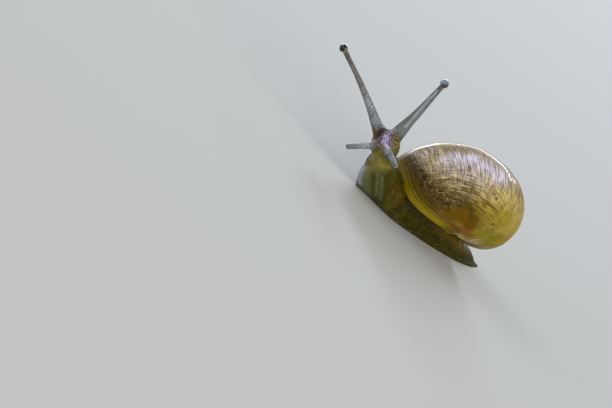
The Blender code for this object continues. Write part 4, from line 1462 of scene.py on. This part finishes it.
@dataclass
class Skin:
    """One skin over foot, tail, neck, head, feelers and mantle collar."""

    body: BodyForm
    head: HeadForm
    collar: MantleCollar
    voxel: float = 0.106
    smoothing: int = 10
    grip: float = 0.85
    melt_steps: int = 110
    grain_mm: float = 0.27
    grain_height: float = 0.045
    swell_height: float = 0.035
    fringe_rib_mm: float = 0.52
    fringe_rib_height: float = 0.022
    fold_mm: float = 1.15
    fold_height: float = 0.05
    bend_x: float = -13.6
    bend_reach: float = 1.7
    sole_fold_mm: float = 0.62
    sole_fold_depth: float = 0.02
    slit_depth: float = 0.16
    crease_depth: float = 0.12
    hole_depth: float = 0.55
    marks: tuple[Mark, ...] = (
        Mark("brow", ((-18.75, 0.45, 8.35), (-19.0, 0.15, 8.0), (-19.15, -0.25, 7.45)), 0.55, 1.4),
        Mark("brow", ((-18.95, -0.75, 6.25), (-18.75, -1.2, 6.25)), 0.22, 0.7),
        Mark("net", ((-18.2, -0.1, 8.75), (-18.65, -0.75, 8.2), (-18.85, -1.05, 7.5), (-18.9, -0.85, 6.85)), 0.42),
        Mark("net", ((-18.65, -0.75, 8.2), (-18.45, -1.8, 7.2), (-18.35, -2.6, 7.05)), 0.40, 1.1),
        Mark("net", ((-18.75, 0.75, 8.55), (-18.2, 0.25, 8.9), (-17.6, -0.1, 9.2)), 0.30, 1.2),
        Mark("snout", ((-18.9, -0.4, 6.3), (-18.6, -1.6, 5.8)), 0.75, 1.1),
        Mark("dusk", ((-19.25, 0.9, 7.5), (-19.2, 0.5, 6.8), (-18.9, 0.4, 6.0)), 0.7, 0.75),
        Mark("snout", ((-18.6, -1.6, 5.8), (-18.0, -2.3, 5.8), (-17.2, -2.8, 5.5)), 1.15, 1.2),
        Mark("snout", ((-18.3, -0.6, 5.2), (-17.3, -1.6, 4.6), (-16.6, -2.3, 4.9)), 1.0, 1.2),
        Mark("chin", ((-18.4, -0.9, 5.0), (-17.9, -1.7, 5.0), (-17.2, -2.3, 5.0)), 0.55, 0.9),
        Mark("pale_side", ((-17.4, -1.0, 3.4), (-16.4, -0.5, 2.4), (-15.2, -0.2, 1.4), (-14.0, 0.0, 0.6)), 0.9, 1.1),
        Mark("streak", ((-16.2, -1.75, 3.6), (-14.6, -1.55, 2.1), (-13.4, -1.35, 1.0)), 0.24, 0.8),
        Mark("streak", ((-16.2, -2.1, 4.1), (-15.0, -2.1, 3.1), (-14.0, -2.0, 2.1), (-13.0, -1.9, 1.1)), 0.24, 0.8),
        Mark("dusk", ((-16.3, -1.3, 3.1), (-15.0, -1.3, 2.2), (-13.6, -1.1, 1.0)), 0.35, 0.9),
        Mark("dusk", ((-16.0, -2.7, 4.4), (-14.8, -2.7, 3.3), (-13.2, -2.3, 1.5)), 0.75, 0.9),
        Mark("chin", ((2.1, -2.0, 2.4), (2.3, -3.1, 2.75)), 0.55, 0.8),
        # Painted rim light down the neck's front.
        Mark("rim_light", ((-17.7, -0.6, 3.1), (-17.1, -0.15, 2.3), (-16.1, 0.3, 1.4), (-15.1, 0.55, 0.65)), 0.35, 0.9),
        # Painted light over the shaded hollow beside the neck.
        Mark("painted_fill_light", ((-13.4, -2.2, 4.3), (-12.4, -2.3, 3.4), (-11.6, -2.6, 2.6)), 0.95, 1.0),
        # Where the painted glints go, along the foot's edge at the floor.
        Mark("wet", ((-13.6, -1.5, 0.1), (-12.0, -2.9, 0.1), (-9.0, -3.3, 0.1), (-5.0, -3.7, 0.1)), 0.55, 1.0),
        Mark("wet", ((-5.0, -3.7, 0.1), (0.0, -3.6, 0.1), (5.0, -2.4, 0.1), (8.5, -0.8, 0.1)), 0.40, 0.8),
        Mark("beads", ((-18.9, 0.7, 8.6), (-20.0, 1.4, 8.8), (-21.6, 2.4, 9.5), (-22.9, 3.2, 10.3)), 0.34, 1.2),
        # Where the painted highlights run, along one side of the feelers.
        Mark("painted_edge_highlight", ((-19.5, 1.9, 8.1), (-21.6, 3.3, 9.3), (-23.7, 4.6, 10.4), (-25.6, 5.8, 11.35)), 0.24, 0.6),
        Mark("painted_edge_highlight", ((-18.7, 0.0, 6.4), (-19.3, -0.1, 6.05), (-20.4, 0.1, 5.16), (-21.4, 0.33, 4.3)), 0.19, 1.0),
        Mark("painted_edge_highlight", ((-18.4, -1.6, 7.2), (-17.95, -2.8, 7.1), (-17.7, -3.75, 6.95), (-17.4, -4.4, 6.7)), 0.19, 1.0),
        Mark("painted_edge_highlight", ((-17.5, -0.8, 10.3), (-17.9, -1.0, 12.7), (-18.4, -1.3, 14.9), (-18.8, -1.7, 16.6)), 0.14, 0.5),
    )
    shoulder: tuple[tuple[Point, float], ...] = (
        ((-12.0, 0.3, 4.15), 0.72),
        ((-12.0, -0.9, 3.80), 0.88),
        ((-11.95, -1.9, 3.05), 0.98),
        ((-11.5, -2.3, 2.9), 0.85),
        ((-11.7, -2.5, 2.2), 0.95),
    )
    melt: tuple[Mark, ...] = (
        Mark("melt", ((-16.9, -2.2, 5.0), (-17.5, -1.2, 4.6)), 1.1, 1.0),
        Mark("melt", ((-16.2, -3.3, 4.9), (-14.6, -3.0, 3.1), (-12.8, -2.9, 1.5), (-11.4, -2.9, 0.9)), 1.0, 1.2),
        Mark("melt", ((-12.2, 0.2, 4.4), (-12.0, -1.2, 4.0), (-11.7, -2.6, 2.8), (-11.3, -3.0, 1.6)), 1.3, 1.2),
    )

    def masses(self) -> bpy.types.Object:
        """All masses made one surface of even faces.

        Returns:
            The new object, in metres.
        """
        parts = [self.body.surface(), self.collar.surface(), *self.head.surfaces()]
        parts.extend(ball(at, np.eye(3), (radius,) * 3) for at, radius in self.shoulder)
        for feeler in FEELERS.values():
            parts.extend(feeler.surfaces())
        obj = Surface.together(parts).build("masses")
        remesh = obj.modifiers.new("remesh", "REMESH")
        remesh.mode = "VOXEL"
        remesh.voxel_size = self.voxel * MM
        graph = bpy.context.evaluated_depsgraph_get()
        mesh = bpy.data.meshes.new_from_object(obj.evaluated_get(graph))
        bpy.data.objects.remove(obj, do_unlink=True)
        made = bpy.data.objects.new("skin", mesh)
        bpy.context.scene.collection.objects.link(made)
        return made

    @staticmethod
    def arrays(obj: bpy.types.Object) -> tuple[Array, Array, Array]:
        """Reads a mesh into arrays.

        Args:
            obj: The object.

        Returns:
            Its points in millimetres, the two ends of each edge and the points' normals.
        """
        mesh = obj.data
        points = np.empty(len(mesh.vertices) * 3)
        mesh.vertices.foreach_get("co", points)
        edges = np.empty(len(mesh.edges) * 2, np.int64)
        mesh.edges.foreach_get("vertices", edges)
        normals = np.empty(len(mesh.vertices) * 3)
        mesh.vertex_normals.foreach_get("vector", normals)
        return points.reshape(-1, 3) / MM, edges.reshape(-1, 2), normals.reshape(-1, 3)

    @staticmethod
    def spread(values: Array, edges: Array, steps: int, weight: Array | float = 1.0) -> Array:
        """Moves each value half the way to the mean of its neighbours, several times.

        Args:
            values: One number or one row of numbers for each point.
            edges: The two ends of each edge.
            steps: How many times.
            weight: How much of the move each point makes.

        Returns:
            The evened values.
        """
        a, b = edges.T
        count = np.bincount(a, minlength=len(values)) + np.bincount(b, minlength=len(values))
        columns = values if values.ndim == 2 else values[:, None]
        share = np.broadcast_to(np.asarray(weight, float).reshape(-1, 1), (len(values), 1)) * 0.5
        for _ in range(steps):
            total = np.stack(
                [
                    np.bincount(a, columns[b, k], len(values)) + np.bincount(b, columns[a, k], len(values))
                    for k in range(columns.shape[1])
                ],
                axis=1,
            )
            columns = columns + share * (total / np.maximum(count, 1)[:, None] - columns)
        return columns if values.ndim == 2 else columns[:, 0]

    def zones(self, points: Array, normals: Array) -> dict[str, Array]:
        """How strongly each point belongs to each part of the skin.

        A part's strength is a product of smooth steps of the point's place along a stalk, from the head or
        on the body, and the marks' strengths are laid over these.

        Args:
            points: Places in millimetres.
            normals: The skin's normals there.

        Returns:
            For each part, one value from 0 to 1 for each point.
        """
        at = self.body.measure(points)
        local = self.head.local(points)
        forward = self.collar.shell.axes @ self.collar.shell.lip_normal()
        lip = self.collar.shell.rings(0.0)[0]
        over_lip = (points - lip.mean(axis=0)) @ forward
        names = ("feeler", "feeler_tip", "beads", "bluish", "feeler_low")
        zone = {name: np.zeros(len(points)) for name in names}
        for side, feeler in FEELERS.items():
            away, share = feeler.near(points)
            upper = feeler.upper
            start, full = (0.04, 0.18) if upper else (0.10, 0.35)
            close = ease(1.75 - away, 0.0, 0.35) if not upper else ease(2.1 - away, 0.0, 0.5)
            zone["feeler"] = np.maximum(zone["feeler"], close * ease(share, start, full))
            if side is Side.UPPER_RIGHT:
                zone["feeler_tip"] = close * ease(share, 0.93, 1.0)
            reach = ease(share, 0.05, 0.25) * ease(share, 0.85, 0.45) if upper else ease(share, 0.1, 0.4)
            zone["beads"] = np.maximum(zone["beads"], close * reach * (0.12 if upper else 0.5))
            low = ease(share, 0.70, 0.35) if upper else 1 - ease(share, 0.5, 1.0)
            low = low * (0.15 if side is Side.UPPER_LEFT else 1.0)
            zone["feeler_low"] = np.maximum(zone["feeler_low"], close * low)
            if side is not Side.UPPER_RIGHT:
                zone["bluish"] = np.maximum(zone["bluish"], close)
        on_body = 1 - zone["feeler"]
        from_head = np.linalg.norm(local / np.array((2.1, 2.5, 2.4)), axis=1)
        zone["head"] = ease(1.30 - from_head, 0.0, 0.25) * on_body
        raised = ease(-at["x"], 12.4, 13.8)
        downward = -np.einsum("pk,pk->p", normals, self.body.raised[at["station"].astype(int)])
        under = ease(downward, 0.35, 0.75) * ease(0.9 - at["up"], 0.0, 0.4)
        zone["sole"] = under * on_body * (1 - zone["head"])
        beside = np.abs(at["left"]) / np.maximum(at["sole"], 0.2)
        fringe = ease(beside, 0.86, 0.97) * ease(0.62 - at["up"], 0.0, 0.25)
        zone["fringe"] = fringe * on_body * (1 - zone["head"])
        # Painted rim light on the raised forepart's fringe, on the animal's right.
        zone["rim_light"] = 0.3 * zone["fringe"] * raised * ease(-at["left"], -0.3, 0.3)
        for name, value in Mark.gather(self.marks, points).items():
            value = value * (1.0 if name in ("net", "wet", "painted_edge_highlight", "beads") else on_body)
            zone[name] = np.maximum(zone.get(name, 0.0), value)
        zone["mantle"] = ease(-over_lip, -0.75, -0.35) * ease(-at["x"], -3.0, -1.5) * ease(at["x"], -12.5, -11.3)
        # The zone by the lip: partly the flesh's own brown, partly painted glow.
        close_to_lip = ease(1.9 - over_lip, 0.0, 1.5) * ease(at["x"], -13.2, -10.5)
        zone["warm_and_painted_light"] = close_to_lip * (1 - zone["mantle"]) * ease(at["up"], 0.5, 1.8)
        return zone

    def relief(self, points: Array, zone: dict[str, Array]) -> tuple[Array, Array]:
        """The skin's granules and folds.

        Granules are the rounded cells of random points, stretched along the body on the flanks. Folds are
        soft noise, and waves along the line where the neck bends.

        Args:
            points: Places in millimetres.
            zone: The parts of the skin.

        Returns:
            The height in millimetres, and how far up its granule each point is, from 0 to 1.
        """
        at = self.body.measure(points)
        stretched = points * np.array((0.72, 1.0, 1.0)) / self.grain_mm
        big, owner = Grain.cells(stretched + 0.25 * Grain.cloud(points, 0.8, 3)[:, None], 31)
        small, _ = Grain.cells(points / (0.62 * self.grain_mm), 41)
        fine = np.maximum(zone["feeler"], np.maximum(zone["snout"], zone["net"]))
        cell = big * (1 - fine) + small * fine
        grain = ease(cell, 0.03, 0.42) * (0.75 + 0.25 * owner)
        smooth = np.maximum(zone["sole"], np.maximum(0.95 * zone["snout"], 0.55 * zone["feeler"]))
        smooth = np.maximum(smooth, np.maximum(0.6 * zone["mantle"], 0.7 * zone["fringe"]))
        height = self.grain_height * (grain - 0.5) * (1 - smooth)
        height += self.swell_height * Grain.cloud(points, 1.1, 7) * (1 - zone["feeler"])
        arc = at["station"] * np.linalg.norm(np.diff(self.body.middle, axis=0), axis=1).mean()
        ribs = np.sin(arc * 2 * np.pi / self.fringe_rib_mm + 2.0 * Grain.cloud(points, 1.5, 15))
        height += self.fringe_rib_height * ribs * zone["fringe"]
        folds = np.sin(arc * 2 * np.pi / self.fold_mm + 1.6 * Grain.cloud(points, 2.0, 17))
        bend = np.exp(-(((at["x"] - self.bend_x) / self.bend_reach) ** 2)) * ease(at["up"], 0.9, 2.0)
        height += self.fold_height * folds * bend * (1 - zone["head"])
        sole_folds = np.abs(np.sin(at["left"] * np.pi / self.sole_fold_mm)) ** 6
        height -= self.sole_fold_depth * sole_folds * zone["sole"]
        return height, grain

    def dimples(self, points: Array) -> Array:
        """The mouth's slit, the crease across it and the breathing hole, each a bell curve of the distance.

        Args:
            points: Places in millimetres.

        Returns:
            How far each point is pressed in, in millimetres.
        """
        local = self.head.local(points) - np.array(self.head.mouth)
        upright = np.exp(-((local[:, 0] / 0.10) ** 2) - (local[:, 1] / 0.55) ** 2 - (local[:, 2] / 0.7) ** 2)
        across = np.exp(-((local[:, 0] / 0.60) ** 2) - ((local[:, 1] - 0.42) / 0.09) ** 2 - (local[:, 2] / 0.7) ** 2)
        hole = np.linalg.norm(points - self.collar.hole(), axis=1) / self.collar.hole_radius
        return self.slit_depth * upright + self.crease_depth * across + self.hole_depth * np.exp(-(hole**4))

    def build(self, finish: SkinFinish) -> bpy.types.Object:
        """Makes, smooths, presses and dresses the skin.

        Args:
            finish: The skin's finish.

        Returns:
            The finished piece.
        """
        obj = self.masses()
        points, edges, normals = self.arrays(obj)
        zone = self.zones(points, normals)
        keep = np.maximum(zone["feeler"], 0.45 * zone["fringe"])
        points = self.spread(points, edges, self.smoothing, 1 - self.grip * keep)
        soft = Mark.gather(self.melt, points)["melt"]
        points = self.spread(points, edges, self.melt_steps, soft * (1 - zone["feeler"]))
        self.place(obj, points)
        points, edges, normals = self.arrays(obj)
        zone = self.zones(points, normals)
        height, grain = self.relief(points, zone)
        points = points + (height - self.dimples(points))[:, None] * normals
        points[:, 2] = np.maximum(points[:, 2], 0.0)
        self.place(obj, points)
        put_attribute(obj, "grain", grain)
        for name, value in zone.items():
            put_attribute(obj, name, self.spread(value, edges, 2))
        obj.data.materials.clear()
        obj.data.materials.append(finish.material())
        obj.data.shade_smooth()
        return obj

    @staticmethod
    def place(obj: bpy.types.Object, points: Array) -> None:
        """Puts points given in millimetres into the mesh."""
        obj.data.vertices.foreach_set("co", (points * MM).astype(np.float32).ravel())
        obj.data.update()


@dataclass
class EyeBulb:
    """The wet round end of an upper feeler, with the black eye looking one way."""

    name: str
    feeler: Feeler
    looks: Point
    pupil_degrees: float
    radius: float = 0.545
    cap_degrees: tuple[float, float] = (2.0, 112.0)
    pupil_edge: float = 22.0
    rings: int = 40
    around: int = 56

    def build(self, finish: EyeFinish) -> bpy.types.Object:
        """A cap of a little over half a sphere, closed across its base.

        A point is the tip plus the radius times the unit sphere, from its pole to a ring past the widest,
        inside the stalk. The pupil's share is a smooth step of the angle from the way it looks.

        Args:
            finish: The eye's finish.

        Returns:
            The finished piece.
        """
        tip, onward = self.feeler.tip()
        side = unit(np.cross(onward, (0.1, 0.2, 1.0)))
        other = np.cross(onward, side)
        polar = np.radians(np.linspace(*self.cap_degrees, self.rings))[:, None, None]
        turn = np.linspace(0.0, 2 * np.pi, self.around, endpoint=False)[None, :, None]
        sphere = np.sin(polar) * (np.cos(turn) * side + np.sin(turn) * other) + np.cos(polar) * onward
        surface = Surface.closed_grid(tip + self.radius * sphere)
        obj = surface.build(self.name)
        away = np.degrees(np.arccos(np.clip(units(surface.points - tip) @ unit(self.looks), -1, 1)))
        inner, outer = self.pupil_degrees - self.pupil_edge, self.pupil_degrees + self.pupil_edge
        put_attribute(obj, "pupil", 1 - ease(away, inner, outer))
        obj.data.materials.append(finish.material())
        return obj


# The studio


@dataclass
class Studio:
    """Pale floor, soft lights, and a camera that looks as the photograph's did.

    The camera's right and up are given in the model's axes. One millimetre of the photograph's subject
    spans 1 / mm_a_pixel pixels, and origin_pixel is where the model's origin lies in the photograph.
    """

    right: Point = (0.6091, -0.4040, 0.6825)
    up: Point = (-0.3881, 0.5987, 0.7007)
    mm_a_pixel: float = 0.123
    origin_pixel: tuple[float, float] = (431.94, 237.16)
    depth_mm: float = 8.0
    lens: float = 1000.0
    sensor: float = 36.0
    clip: tuple[float, float] = (0.01, 10.0)
    lit_mm: Point = (-8.0, 0.0, 7.0)
    air: Colour = (0.90, 0.93, 0.92)
    air_strength: float = 0.42
    floor_half: float = 3.0

    def camera_axes(self) -> Array:
        """The camera's axes, made square to each other.

        Returns:
            Right, up and back as rows.
        """
        right = unit(self.right)
        up = unit(np.array(self.up) - right * np.dot(right, self.up))
        return np.array((right, up, np.cross(right, up)))

    def camera(self) -> None:
        """Adds the camera, at the distance at which its frame is the photograph's."""
        right, up, back = self.camera_axes()
        across = (PHOTO_WIDTH / 2 - self.origin_pixel[0]) * self.mm_a_pixel
        above = (self.origin_pixel[1] - PHOTO_HEIGHT / 2) * self.mm_a_pixel
        distance = PHOTO_WIDTH * self.mm_a_pixel * self.lens / self.sensor
        place = right * across + up * above + back * (self.depth_mm + distance)
        data = bpy.data.cameras.new("camera")
        data.lens = self.lens
        data.sensor_width = self.sensor
        data.clip_start, data.clip_end = self.clip
        obj = bpy.data.objects.new("camera", data)
        turned = Matrix(np.column_stack([right, up, back]).tolist()).to_4x4()
        obj.matrix_world = Matrix.Translation(place * MM) @ turned
        bpy.context.scene.collection.objects.link(obj)
        bpy.context.scene.camera = obj

    def light(
        self, name: str, aim: Point, distance: float, size: tuple[float, float], power: float, colour: Colour
    ) -> None:
        """Adds a soft light that faces the animal.

        Args:
            name: Its name.
            aim: The way to it, as shares of the camera's right, up and back.
            distance: How far away it is, in metres.
            size: Its width and height in metres.
            power: Its power in watts.
            colour: Its colour.
        """
        axes = self.camera_axes()
        direction = unit(np.array(aim) @ axes)
        focus = np.array(self.lit_mm) * MM
        data = bpy.data.lights.new(name, "AREA")
        data.shape = "RECTANGLE"
        data.size, data.size_y = size
        data.energy = power
        data.color = colour
        obj = bpy.data.objects.new(name, data)
        side = unit(axes[0] - direction * direction.dot(axes[0]))
        facing = Matrix(np.column_stack([side, np.cross(direction, side), direction]).tolist()).to_4x4()
        obj.matrix_world = Matrix.Translation(focus + direction * distance) @ facing
        bpy.context.scene.collection.objects.link(obj)

    def lights(self) -> None:
        """A broad light from above, a narrow one behind for the rims, one in front and a low fill beside it."""
        self.light("sky", (-0.30, 0.85, 0.00), 0.60, (0.55, 0.55), 1.4, (0.96, 0.98, 1.0))
        self.light("rim_light", (0.06, 0.44, -0.89), 0.50, (0.90, 0.05), 3.0, (0.78, 0.85, 1.0))
        self.light("front", (-0.60, 0.25, 0.78), 0.70, (0.60, 0.60), 2.8, (1.0, 0.98, 0.95))
        self.light("low", (0.60, -0.30, 0.78), 0.70, (0.50, 0.50), 3.6, (1.0, 0.97, 0.92))
        world = bpy.data.worlds.new("studio")
        world.use_nodes = True
        background = world.node_tree.nodes["Background"]
        background.inputs["Color"].default_value = (*self.air, 1.0)
        background.inputs["Strength"].default_value = self.air_strength
        bpy.context.scene.world = world

    def floor(self, finish: FloorFinish) -> None:
        """Adds a wide pale floor under the sole.

        Args:
            finish: The floor's finish.
        """
        half = self.floor_half
        corners = [(-half, -half, 0.0), (half, -half, 0.0), (half, half, 0.0), (-half, half, 0.0)]
        mesh = bpy.data.meshes.new("floor")
        mesh.from_pydata(corners, [], [(0, 1, 2, 3)])
        obj = bpy.data.objects.new("floor", mesh)
        obj.data.materials.append(finish.material())
        bpy.context.scene.collection.objects.link(obj)


def attach(obj: bpy.types.Object, slot: str, *nodes: str) -> None:
    """Ties a finished piece to the model and hides the solids that it stands for.

    Args:
        obj: The piece.
        slot: The name of its finish; not used.
        nodes: The solids that it replaces.
    """
    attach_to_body(obj, "root")
    if nodes:
        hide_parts(*nodes)
    LOG.info("%s: %d faces", obj.name, len(obj.data.polygons))


def corners(box: tuple) -> list[list[float]]:
    """A box's two corners as plain lists."""
    return [list(map(float, corner)) for corner in box]


def main() -> None:
    """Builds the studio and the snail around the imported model."""
    logging.basicConfig(level=logging.INFO, format="%(name)s: %(message)s")
    for obj in list(bpy.data.objects):
        bpy.data.objects.remove(obj, do_unlink=True)
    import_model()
    studio = Studio()
    studio.camera()
    studio.lights()
    studio.floor(FloorFinish())
    bpy.context.scene.view_settings.view_transform = "Standard"
    shell = CoiledShell()
    attach(shell.build(ShellFinish()), "shell", "shell")
    skin = Skin(BodyForm(), HeadForm(), MantleCollar(shell)).build(SkinFinish())
    feelers = [f"tentacle_{side.value}" for side in Side]
    attach(skin, "skin", "foot", "tail", "neck", "head", "mantle_collar", *feelers)
    dark = EyeFinish("snail_eye_dark")
    clear = EyeFinish("snail_eye_clear", (0.050, 0.036, 0.030), (0.13, 0.10, 0.085), (0.17, 0.21, 0.33))
    right = EyeBulb("eye_dark_right", FEELERS[Side.UPPER_RIGHT], (-1.07, -0.37, 0.0), 62.0)
    left = EyeBulb("eye_dark_left", FEELERS[Side.UPPER_LEFT], (-0.07, -1.06, -0.42), 54.0)
    attach(right.build(dark), "eye", "eye_right")
    attach(left.build(clear), "eye", "eye_left")


if __name__ == "__main__":
    main()
